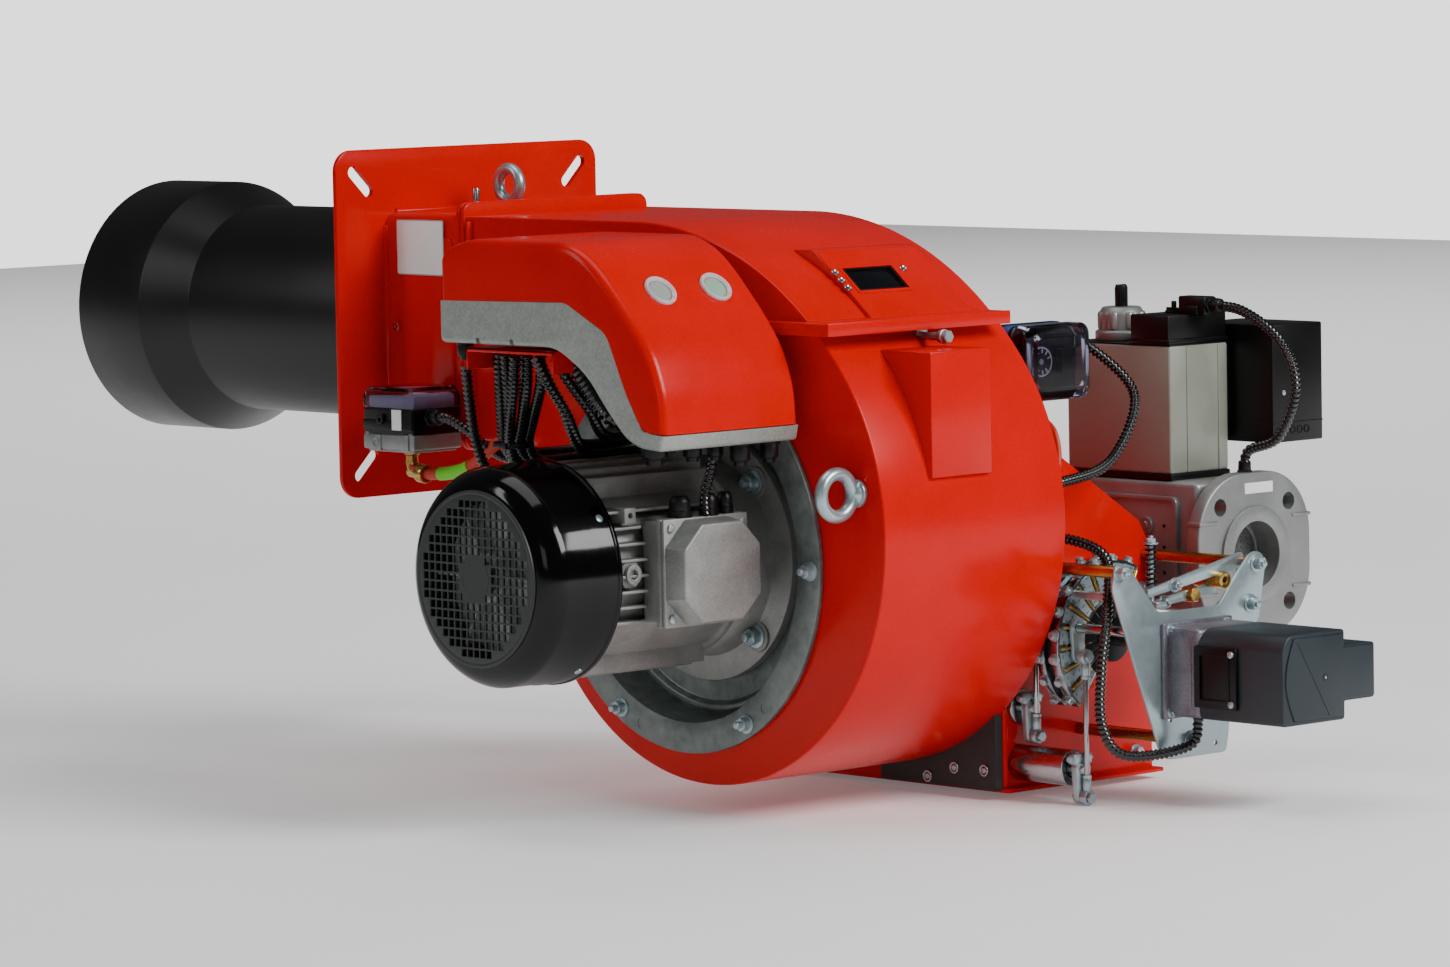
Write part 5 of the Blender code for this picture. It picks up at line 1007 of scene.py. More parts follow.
def air_casing():
    near = DRUM_FAR + FIT
    outline = [(near, -0.074), (near, -0.460), (0.343, -0.460), (0.343, -0.231), (0.328, -0.205)]
    inner = [(near + 0.003, -0.080), (near + 0.003, -0.457), (0.340, -0.457), (0.340, -0.232), (0.3255, -0.207)]
    body = slab(outline, "X", 0.281, SIDE_X, 0.0016, 2)
    hollow = slab(inner, "X", 0.284, SIDE_X - 0.003)
    mouth = block((0.296, 0.640), (near + 0.015, 0.328), (-0.470, -0.450), 0)
    inlet = rod("Y", MOTOR, near - 0.004, near + 0.007, INTAKE_R, 0, 96)
    bores = [rod("X", (DAMPER_Y, z), SIDE_X - 0.01, SIDE_X + 0.01, SHAFT_HOLE_R, 0, 24) for z in (SHORT_Z, LONG_Z)]
    shell = carved(body, hollow, mouth, inlet, *bores)
    lip = carved(block((0.273, 0.663), (near, 0.351), (-0.463, -0.4585), 0.0012),
                 block((0.296, 0.640), (near + 0.015, 0.328), (-0.470, -0.450), 0))
    bearing = ring("X", (DAMPER_Y, SHORT_Z), SIDE_X - 0.001, SIDE_X + 0.006, 0.018, SHAFT_HOLE_R, 0.0012)
    pivot = rod("X", (DAMPER_Y, SHORT_Z + SHORT_ROD), SIDE_X - 0.001, SHORT_X + 0.008, PIVOT_R, 0.0006, 24)
    edge = block((SIDE_X - 0.004, SIDE_X + 0.002), (near, near + 0.006), (-0.457, -0.080), 0.001)
    assemble("air_casing", BODY, [(RED, [shell, lip, edge]), (STEEL, [bearing, pivot])], ["air_box"])
    places = ((0.172, -0.445), (0.318, -0.440), (0.330, -0.275), (0.1395, -0.215))
    fixings = bolts_at("X", places, SIDE_X, 1, 0.010)
    assemble("air_casing_bolts", BODY, [(ZINC, fixings)])
    panel = from_node("intake_panel", 0.0)
    screws = []
    for x, z in ((0.640, -0.440), (0.598, -0.4405), (0.560, -0.4520)):
        screws += [turned("Y", (x, z), [(0.1155, 0), (0.1155, 0.0042), (0.1132, 0.0030), (0.1126, 0)], 20),
                   ring("Y", (x, z), 0.1132, 0.1156, 0.0062, 0.0040, 0.0004, 24)]
    assemble("intake_side_sheet", BODY, [(SHEET_BLACK, [panel]), (STEEL, screws)], ["intake_panel"])


def clamp_lever(lever_x, z, thick, arm=LEVER_ARM):
    """A clamp lever that hangs from its shaft: a slit head, a clamp screw and an arm down to where the rod's pin
    sits.
    """
    outline = [*arc((0, 0), 0.0105, 0.05 * math.pi, 0.95 * math.pi, 10),
               *arc((0, -arm), 0.0075, math.pi, math.tau, 10)]
    bar = slab([(DAMPER_Y + a, z + b) for a, b in outline], "X", lever_x, lever_x + thick, 0.0012)
    ear = block((lever_x, lever_x + thick), (DAMPER_Y - 0.0125, DAMPER_Y + 0.0125), (z + 0.005, z + 0.0155), 0.0014)
    screw = [*bolt("Y", (lever_x + thick / 2, z + 0.0105), DAMPER_Y - 0.0125, -1, 0.0065),
             rod("Y", (lever_x + thick / 2, z + 0.0105), DAMPER_Y - 0.014, DAMPER_Y + 0.0165, 0.0018, 0.0003, 12)]
    slit = block((lever_x - 0.001, lever_x + thick + 0.001), (DAMPER_Y - 0.0009, DAMPER_Y + 0.0009),
                 (z + 0.006, z + 0.02), 0)
    return [carved(ear, slit), bar, *screw]


def damper_sets():
    for node, body, z, lever_x in (("damper_short", "damper_short_body", SHORT_Z, SHORT_X),
                                   ("damper_long", "damper_long_body", LONG_Z, LONG_X)):
        shaft = rod("X", (DAMPER_Y, z), 0.2843, lever_x + 0.0115, SHAFT_R, 0.0008, 32)
        blade = block((0.288, 0.648), (DAMPER_Y - 0.0015, DAMPER_Y + 0.0015), (z - 0.021, z + 0.021), 0.0006)
        pin = rod("X", (DAMPER_Y, z - LEVER_ARM), lever_x + 0.004, lever_x + 0.0175, PIN_R, 0.0004, 20)
        lever = clamp_lever(lever_x, z, 0.008)
        nut = hexagon("X", (DAMPER_Y, z - LEVER_ARM), lever_x + 0.0164, lever_x + 0.0205, 0.010)
        back = hexagon("X", (DAMPER_Y, z - LEVER_ARM), lever_x - 0.004, lever_x + 0.0005, 0.010)
        assemble(f"{node}_shaft", body, [(ZINC, [blade, *lever, nut, back]), (STEEL, [shaft, pin])],
                 [node])


def link_rods():
    for node, body, z, lever_x, length in (("rod_short", "rod_short_body", SHORT_Z, SHORT_X, SHORT_ROD),
                                           ("rod_long", "rod_long_body", LONG_Z, LONG_X, LONG_ROD)):
        start = lever_x + 0.0083
        stop = start + 0.0077
        middle = (start + stop) / 2
        low = z - LEVER_ARM
        shapes = [ring("X", (DAMPER_Y, end), start, stop, 0.0078, 0.0038, 0.0012, 32)
                  for end in (low, low + length)]
        for end, side in ((low, 1), (low + length, -1)):
            ends = sorted((end + side * 0.0068, end + side * 0.019))
            shapes.append(rod("Z", (middle, DAMPER_Y), *ends, 0.0042, 0.0006, 24))
            nut = sorted((end + side * 0.019, end + side * 0.0225))
            shapes.append(hexagon("Z", (middle, DAMPER_Y), *nut, 0.0085, 0.0004))
        bar = rod("Z", (middle, DAMPER_Y), low + 0.008, low + length - 0.008, 0.0026, 0.0002, 24)
        assemble(f"{node}_link", body, [(STEEL, [bar]), (ZINC, shapes)], [node])
    for node, body, z, lever_x in (("follower_short", "follower_short_body", SHORT_Z + SHORT_ROD, SHORT_X),
                                   ("follower_long", "follower_long_body", LONG_Z + LONG_ROD, LONG_X)):
        outline = [*arc((0, 0), 0.0098, 0, math.pi, 12), *arc((0, -LEVER_ARM), 0.0070, math.pi, math.tau, 12)]
        plate = slab([(DAMPER_Y + a, z + b) for a, b in outline], "X", lever_x, lever_x + 0.004, 0.0006)
        bore = rod("X", (DAMPER_Y, z), lever_x - 0.004, lever_x + 0.008, 0.0053, 0, 32)
        pin = rod("X", (DAMPER_Y, z - LEVER_ARM), lever_x, lever_x + 0.0170, PIN_R, 0.0004, 20)
        nut = hexagon("X", (DAMPER_Y, z - LEVER_ARM), lever_x + 0.0164, lever_x + 0.0200, 0.0095)
        assemble(f"{node}_plate", body, [(ZINC, [carved(plate, bore), pin, nut])], [node])


def bearing_sleeve():
    start, stop = SIDE_X + FIT, SIDE_X + 0.074
    centre = (DAMPER_Y, LONG_Z)
    tube_shape = ring("X", centre, start, stop, 0.018, 0.0125, 0.0009, 64)
    race = ring("X", centre, stop - 0.006, stop - 0.0012, 0.0128, 0.0100, 0.0005, 48)
    inner = ring("X", centre, stop - 0.006, stop - 0.0008, 0.0082, 0.0064, 0.0004, 48)
    seal = ring("X", centre, stop - 0.0055, stop - 0.0022, 0.0101, 0.0081, 0.0002, 48)
    back = ring("X", centre, start, start + 0.004, 0.0130, 0.0064, 0.0003, 48)
    assemble("bearing_sleeve", BODY, [(STEEL, [tube_shape, race, inner, back]), (PLASTIC, [seal])],
             ["bearing_tube"])


# the cams' first and last edge in degrees
SPAN = (62.0, 232.0)
CAM_BOLTS = 10
DISC_X = (0.702, 0.722)
DISC_T = 0.010


def sector(inner, outer, start, stop, x_low, x_high, edge=0.0004):
    """A piece of a disc round the cam shaft, between two angles in degrees."""
    first, last = math.radians(start), math.radians(stop)
    steps = max(2, round((stop - start) / 4))
    points = [*arc(CAM, outer, first, last, steps), *arc(CAM, inner, last, first, steps)]
    return slab(points, "X", x_low, x_high, edge)


def cam_set():
    low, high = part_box("cam_drum")
    shaft = rod("X", CAM, low.x, high.x, SHAFT_R, 0.0008, 32)
    discs = [sector(0.030, 0.080, *SPAN, x, x + DISC_T, 0.0008) for x in DISC_X]
    band = sector(0.019, 0.0725, SPAN[0] + 1, SPAN[1] - 1, 0.7045, 0.7300)
    core = [rod("X", CAM, 0.696, 0.7335, 0.022, 0.001, 48),
            *[sector(0.018, 0.040, SPAN[0] + 17 * step, SPAN[0] + 17 * step + 16.2, 0.7300, 0.7326, 0.0008)
              for step in range(CAM_BOLTS)]]
    rim_bolts, scales, screws, ticks, numbers = [], [], [], [], []
    spread = (SPAN[1] - SPAN[0]) / CAM_BOLTS
    for step in range(CAM_BOLTS):
        angle = SPAN[0] + spread * (step + 0.5)
        turn = about_x(CAM, math.radians(angle))
        places = [(x + DISC_T / 2, 0) for x in DISC_X]
        rim_bolts += [moved(shape, turn) for shape in bolts_at("Y", places, 0.0795, 1, 0.0078)]
        edge_angle = SPAN[0] + spread * step + 1.2
        edge_turn = about_x(CAM, math.radians(edge_angle))
        screws.append(moved(rod("Y", (0.7332, 0), 0.043, 0.0745, 0.0017, 0.0004, 16), edge_turn))
        scales.append(sector(0.044, 0.0765, edge_angle + 3.0, edge_angle + spread - 3.4, 0.7318, 0.7330, 0.0002))
        for tick in range(4):
            reach = 0.0470 + 0.0088 * tick
            ticks.append(moved(block((0.7329, 0.7332), (reach, reach + 0.0006), (0.0062, 0.0098), 0), edge_turn))
        for label, reach in (("10", 0.0515), ("20", 0.0603), ("30", 0.0691)):
            numbers.append(numeral(label, edge_turn @ Matrix.Translation((0.7330, reach, 0.0152))))
    assemble("cam_discs", "cam",
             [(CAM_FACE, discs), (ZINC, rim_bolts), (PLASTIC, [band, *core]), (SCALE, scales), (BRASS, screws),
              (SPRING, ticks), (STEEL, [shaft])], ["cam_drum"])
    assemble("scale_numbers", "cam", [(SPRING, numbers)])


def numeral(label, place, size=0.0062):
    """A small printed number, made a mesh and laid on the disc."""
    curve = bpy.data.curves.new("number", "FONT")
    curve.body = label
    curve.size = size
    curve.align_x = "CENTER"
    curve.align_y = "CENTER"
    curve.extrude = 0.00015
    curve.resolution_u = 1
    item = bpy.data.objects.new("number", curve)
    SCENE.collection.objects.link(item)
    bpy.context.view_layer.update()
    bm = bmesh.new()
    evaluated = item.evaluated_get(bpy.context.evaluated_depsgraph_get())
    bm.from_mesh(evaluated.to_mesh())
    evaluated.to_mesh_clear()
    bpy.data.objects.remove(item)
    bpy.data.curves.remove(curve)
    bmesh.ops.remove_doubles(bm, verts=bm.verts, dist=MM / 100)
    # the letters' own X runs along +Y of the disc's edge direction, turned to face +X
    face = Matrix(((0, 0, 1, 0), (1, 0, 0, 0), (0, 1, 0, 0), (0, 0, 0, 1)))
    return moved(bm, place @ face)


# The regulator plate's outline and its rods, in shares of its reach from the cam shaft
CARRIER = ((-0.545, 0.6), (-0.5, 0.71), (-0.42, 0.71), (-0.36, 0.64), (-0.105, 0.275), (0.5, 0.275), (0.8, 0.66),
           (0.86, 0.69), (0.93, 0.68), (0.98, 0.6), (0.9, 0.108), (0.62, 0), (0.59, -0.75), (0.56, -0.95),
           (-0.03, -0.95), (-0.1, -0.88), (-0.55, 0.5))
RODS = ((-0.48, 0.64), (0.885, 0.59), (0.2, -0.81))


def carrier_points(shares):
    return [(CAM[0] + CARRIER_REACH[0] * y, CAM[1] + CARRIER_REACH[1] * z) for y, z in shares]


def carrier():
    outline = filleted(carrier_points(CARRIER), 0.006, 4)
    plate = slab(outline, "X", CARRIER_X, CARRIER_X + 0.003, 0.0005)
    holes = [rod("X", CAM, CARRIER_X - 0.004, CARRIER_X + 0.007, 0.007, 0, 32)]
    for place in carrier_points(((0.02, -0.86), (0.45, -0.86), (0.0, -0.62))):
        holes.append(rod("X", place, CARRIER_X - 0.004, CARRIER_X + 0.007, 0.0027, 0, 20))
    plate = carved(plate, *holes)
    heads = bolts_at("X", carrier_points((*RODS, (0.82, 0.26))), CARRIER_X + 0.003, 1, 0.012, 0.003)
    rods = [rod("X", place, SIDE_X + FIT, CARRIER_X + 0.001, 0.006, 0.0006, 32) for place in carrier_points(RODS)]
    pivot = rod("X", (DAMPER_Y, LONG_Z + LONG_ROD), LONG_X - FIT, CARRIER_X + 0.0015, PIVOT_R, 0.0005, 24)
    spacer = [ring("X", CAM, 0.7800, CARRIER_X, 0.0135, 0.0064, 0.0008, 40),
              ring("X", carrier_points(((0.62, 0.47),))[0], 0.762, CARRIER_X - 0.004, 0.0085, 0.003, 0.001, 32),
              hexagon("X", carrier_points(((0.42, 0.36),))[0], 0.770, 0.788, 0.014, 0.0008)]
    assemble("regulator_plate", BODY,
             [(ZINC, [plate, *heads]), (BRONZE, rods), (STEEL, [pivot]), (BRASS, spacer)], ["regulator_frame"])
    arms = []
    for start, stop, wide, x in (((-0.10, 0.42), (0.86, 0.62), 0.0075, 0.790),
                                 ((-0.04, 0.30), (0.66, 0.40), 0.006, 0.778)):
        (y0, z0), (y1, z1) = carrier_points((start, stop))
        along = Vector((y1 - y0, z1 - z0)).normalized()
        across = Vector((-along.y, along.x)) * wide
        points = [(y0 + across.x * 0.55, z0 + across.y * 0.55), (y0 - across.x * 0.55, z0 - across.y * 0.55),
                  (y1 - across.x, z1 - across.y), (y1 + across.x, z1 + across.y)]
        arms.append(slab(filleted(points, 0.003), "X", x, x + 0.004, 0.0005))
    arm_bolts = []
    for place, x in ((carrier_points(((0.16, 0.47),))[0], 0.794), (carrier_points(((0.14, 0.325),))[0], 0.782)):
        arm_bolts += bolt("X", place, x, 1, 0.0095, 0.002)
    assemble("follower_arms", BODY, [(ZINC, [*arms, *arm_bolts])])


def springs():
    """Two coiled wires, and the studs, nuts and washers that hold them."""
    groups_spring, groups_zinc = [], []
    for x, y, z_low, z_high in ((0.706, 0.1535, -0.2450, -0.2140), (0.786, 0.2050, -0.2560, -0.2120)):
        turns, wire = 9, 0.0011
        count = turns * 12
        helix = [Vector((x + 0.0052 * math.cos(math.tau * step / 12), y + 0.0052 * math.sin(math.tau * step / 12),
                         z_low + (z_high - z_low) * step / count)) for step in range(count + 1)]
        groups_spring.append(tube(helix, (wire,), 6))
        groups_zinc += [rod("Z", (x, y), z_low - 0.014, z_high + 0.008, 0.0028, 0.0005, 16),
                        hexagon("Z", (x, y), z_high + 0.001, z_high + 0.0055, 0.009),
                        rod("Z", (x, y), z_high - 0.0005, z_high + 0.0012, 0.0075, 0.0003, 24),
                        rod("Z", (x, y), z_low - 0.0012, z_low + 0.0005, 0.0070, 0.0003, 24)]
    return groups_spring, groups_zinc


def cam_frame():
    """Fixed parts above the cams: the springs, their studs and the bars that these stand on."""
    coils, studs = springs()
    foot = [block((0.698, 0.800), (0.1470, 0.1600), (-0.2650, -0.2575), 0.001),
            block((0.778, 0.800), (0.1980, 0.2120), (-0.2760, -0.2690), 0.001)]
    assemble("cam_springs", BODY, [(SPRING, coils), (ZINC, [*studs, *foot])])


def servo():
    low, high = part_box("servo_base")
    y, z = (low.y, high.y), (low.z, high.z)
    base = block((low.x, high.x), y, z, 0.005, 3)
    socket = rod("X", CAM, low.x - 0.004, low.x + 0.0163, SHAFT_HOLE_R, 0, 24)
    foot = block((low.x, low.x + 0.004), (y[0] - 0.006, y[1] + 0.004), (z[0] - 0.003, z[1] + 0.003), 0.0012)
    corners = [(a, b) for a in (y[0] + 0.004, y[1] - 0.004) for b in (z[0] + 0.004, z[1] - 0.004)]
    heads = bolts_at("X", corners, low.x + 0.004, 1, 0.008)
    groove = block((low.x + 0.010, high.x - 0.010), (y[0] - 0.0008, y[0] + 0.001), (z[0] + 0.010, z[1] - 0.010),
                   0.0005)
    body = carved(base, socket)
    foot = carved(foot, rod("X", CAM, low.x - 0.004, low.x + 0.02, SHAFT_HOLE_R, 0, 24))
    assemble("servo_housing", BODY, [(SERVO_BASE, [body, foot, groove]), (ZINC, heads)],
             ["servo_base"])
    low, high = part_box("servo_cover")
    x0, x1 = low.x, high.x
    z0, z1 = low.z, high.z
    outline = filleted([(y[0], z0), (y[1], z0), (y[1], -0.363), (high.y, -0.363), (high.y, -0.308), (y[1], -0.308),
                        (y[1], z1), (y[0] + 0.010, z1), (y[0], z1 - 0.012)],
                       [0.004, 0.004, 0.002, 0.004, 0.004, 0.002, 0.004, 0.006, 0.006], 3)
    cover = slab(outline, "X", x0, x1 - 0.002, 0.0030, 3, ends_only=True)
    left_edge = [(y[0] + 0.003 + 0.012 * (1 - math.sin(math.pi * step / 16)),
                  z1 - 0.004 - (z1 - z0 - 0.008) * step / 16) for step in range(17)]
    face_outline = [*left_edge, (y[1] - 0.003, z0 + 0.004), (y[1] - 0.003, -0.361), (high.y - 0.003, -0.361),
                    (high.y - 0.003, -0.310), (y[1] - 0.003, -0.310), (y[1] - 0.003, z1 - 0.004)]
    face = slab(face_outline, "X", x1 - 0.004, x1, 0.0014, 2, ends_only=True)
    (ya, za), (yb, zb) = (y[0] + 0.020, z1 - 0.008), (y[1] - 0.024, z0 + 0.006)
    along = Vector((yb - ya, zb - za)).normalized()
    across = Vector((-along.y, along.x)) * 0.0009
    crease = slab([(ya + across.x, za + across.y), (ya - across.x, za - across.y), (yb - across.x, zb - across.y),
                   (yb + across.x, zb + across.y)], "X", x1 - 0.001, x1 + 0.0006, 0.0003)
    screw = ring("X", (y[0] + 0.060, -0.337), x1 - 0.001, x1 + 0.0006, 0.0040, 0.0022, 0.0004, 24)
    dot = rod("X", (y[0] + 0.060, -0.337), x1 - 0.001, x1 + 0.0003, 0.0016, 0.0002, 6)
    hatch = block((x0 - 0.004, x0 + 0.052), (y[0] - 0.0045, y[0] + 0.001), (z0 + 0.012, z1 - 0.016), 0.0016, 2)
    hatch_frame = carved(block((x0 + 0.003, x0 + 0.044), (y[0] - 0.0060, y[0] - 0.003), (z0 + 0.018, z1 - 0.022),
                               0.0008),
                         block((x0 + 0.006, x0 + 0.041), (y[0] - 0.0070, y[0] - 0.001), (z0 + 0.021, z1 - 0.025), 0))
    hatch_screws = [rod("Y", (x0 + 0.0465, place), y[0] - 0.0068, y[0] - 0.003, 0.0034, 0.0006, 20)
                    for place in (z0 + 0.018, z1 - 0.022)]
    assemble("servo_hood", BODY,
             [(SERVO, [cover, face, crease, screw]), (PLASTIC, [hatch, hatch_frame]), (ZINC, [dot, *hatch_screws])],
             ["servo_cover"])


SERVO_HOSE = ((0.700, 0.1268, -0.205), (0.706, 0.148, -0.204), (0.760, 0.165, -0.222), (0.786, 0.142, -0.272),
              (0.790, 0.128, -0.330), (0.790, 0.128, -0.385), (0.801, 0.150, -0.416), (0.828, 0.212, -0.410),
              (0.832, 0.222, -0.3830))


# Pressure switches
def front_switch():
    x, y, z = (0.070, 0.150), (-0.205, -0.140), (-0.124, -0.058)
    split = z[1] - 0.022
    base = [block(x, y, (z[0] + 0.002, z[0] + 0.018), 0.0025, 3),
            block((x[0] + 0.004, x[1] - 0.004), (y[0] + 0.004, y[1] - 0.004), (z[0] - 0.0005, z[0] + 0.003), 0.001)]
    plug = [ring("Y", (x[0] + 0.021, z[0] + 0.009), y[0] - 0.0016, y[0] + 0.002, 0.0058, 0.0030, 0.0006, 32),
            block((x[0] + 0.013, x[0] + 0.029), (y[0] - 0.001, y[0] + 0.002), (z[0] + 0.001, z[0] + 0.017), 0.0008),
            block((x[0] + 0.060, x[0] + 0.073), (y[0] - 0.0016, y[0] + 0.002), (z[0] + 0.002, z[0] + 0.018), 0.001)]
    arm = block((x[0] + 0.010, x[1] - 0.030), (y[1] - 0.004, -0.1153), (z[0] + 0.010, split - 0.010), 0.001)
    corners = [rod("Z", (x[0] + a, y[0] + b), z[0] + 0.003, z[0] + 0.0195, 0.0042, 0.0005, 20)
               for a in (0.006, 0.074) for b in (0.004, 0.061)]
    outline = filleted([(x[0] + 0.001, z[0] + 0.017), (x[0] + 0.001, split), (x[1] - 0.001, split),
                        (x[1] - 0.001, z[0] + 0.017)], 0.002)
    body = slab(outline, "Y", y[0] + 0.001, y[1] - 0.001, 0.0012)
    band = slab(filleted([(x[0] + 0.001, z[0] + 0.022), (x[0] + 0.001, z[0] + 0.032), (x[0] + 0.046, z[0] + 0.032),
                          (x[0] + 0.058, split - 0.002), (x[1] - 0.002, split - 0.002), (x[1] - 0.002, z[0] + 0.022)],
                         0.002), "Y", y[0] - 0.0006, y[0] + 0.003, 0.0008)
    knob = ring("Y", (x[0] + 0.0300, z[0] + 0.033), y[0] - 0.003, y[0] + 0.001, 0.0052, 0.0020, 0.0008, 32)
    sticker = block((x[0] + 0.047, x[0] + 0.062), (y[0] - 0.0010, y[0] - 0.0002), (z[0] + 0.0225, z[0] + 0.0435),
                    0.0003)
    assemble("front_switch_case", BODY,
             [(DIE_CAST, [*base, *plug, *corners]), (PLASTIC, [body, band, knob, arm]), (PAPER, [sticker])],
             ["front_switch_body"])
    lid_low, lid_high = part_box("front_switch_cover")
    top = filleted([(x[0], lid_low.z), (x[0], lid_high.z - 0.010), (x[0] + 0.008, lid_high.z),
                    (x[1] - 0.008, lid_high.z), (x[1], lid_high.z - 0.010), (x[1], lid_low.z)], 0.003)
    cover = slab(top, "Y", y[0], y[1], 0.0035, 3, ends_only=True)
    pocket = block((x[0] + 0.003, x[1] - 0.003), (y[0] + 0.003, y[1] - 0.003),
                   (lid_low.z - 0.002, lid_high.z - 0.004), 0.002)
    inner = block((x[0] + 0.005, x[1] - 0.005), (y[0] + 0.005, y[1] - 0.005), (lid_low.z, lid_low.z + 0.012), 0.002)
    assemble("front_switch_lid", BODY, [(CLEAR, [carved(cover, pocket)]), (VIOLET, [inner])],
             ["front_switch_cover"])
    neck = gland("X", (y[0] + 0.022, z[0] + 0.036), x[1], 1, 0.0088)
    assemble("front_switch_gland", BODY, [(PLASTIC, neck)])
    route = ((0.108, -0.172, -0.1245), (0.110, -0.172, -0.142), (0.134, -0.170, -0.148), (0.185, -0.165, -0.140),
             (0.222, -0.152, -0.112), (0.226, -0.1256, -0.106))
    plain_hose("front_air_tube", route, 0.006, RUBBER, ["front_switch_tube"])
    line = smooth_route(route, 0.004)
    brass = [rod("Z", (0.108, -0.172), -0.1400, -0.1240, 0.0058, 0.0008, 28),
             hexagon("Z", (0.108, -0.172), -0.1290, -0.1235, 0.0155, 0.0008),
             hexagon("Z", (0.108, -0.172), -0.1400, -0.1350, 0.0125, 0.0008)]
    along = Matrix.Translation((0.1225, -0.171, -0.1475)) @ Matrix.Rotation(math.radians(96), 4, "Y")
    brass += [moved(rod("Z", (0, 0), -0.0185, -0.001, 0.0066, 0.001, 32), along),
              moved(ring("Z", (0, 0), -0.004, 0.0075, 0.0098, 0.0062, 0.0012, 40), along)]
    bend = [Vector((0.108, -0.172, -0.130)), Vector((0.108, -0.172, -0.138)), Vector((0.1092, -0.1718, -0.1435)),
            Vector((0.1140, -0.1716, -0.1468)), Vector((0.122, -0.171, -0.1476))]
    brass.append(tube(bend, (0.0064,), 20))
    assemble("brass_elbow", BODY, [(BRASS, brass)])
    middle = [point for point in line if 0.146 < point.x < 0.190]
    assemble("green_tube_sleeve", BODY, [(GREEN, [tube(middle, (0.0068,), 24)])])
    corrugated("front_switch_cable", ((0.1665, -0.183, -0.088), (0.180, -0.183, -0.089), (0.200, -0.176, -0.100),
                                      (0.212, -0.160, -0.118), (0.214, -0.140, -0.1290), (0.2140, -0.1275, -0.130)),
               0.0053)


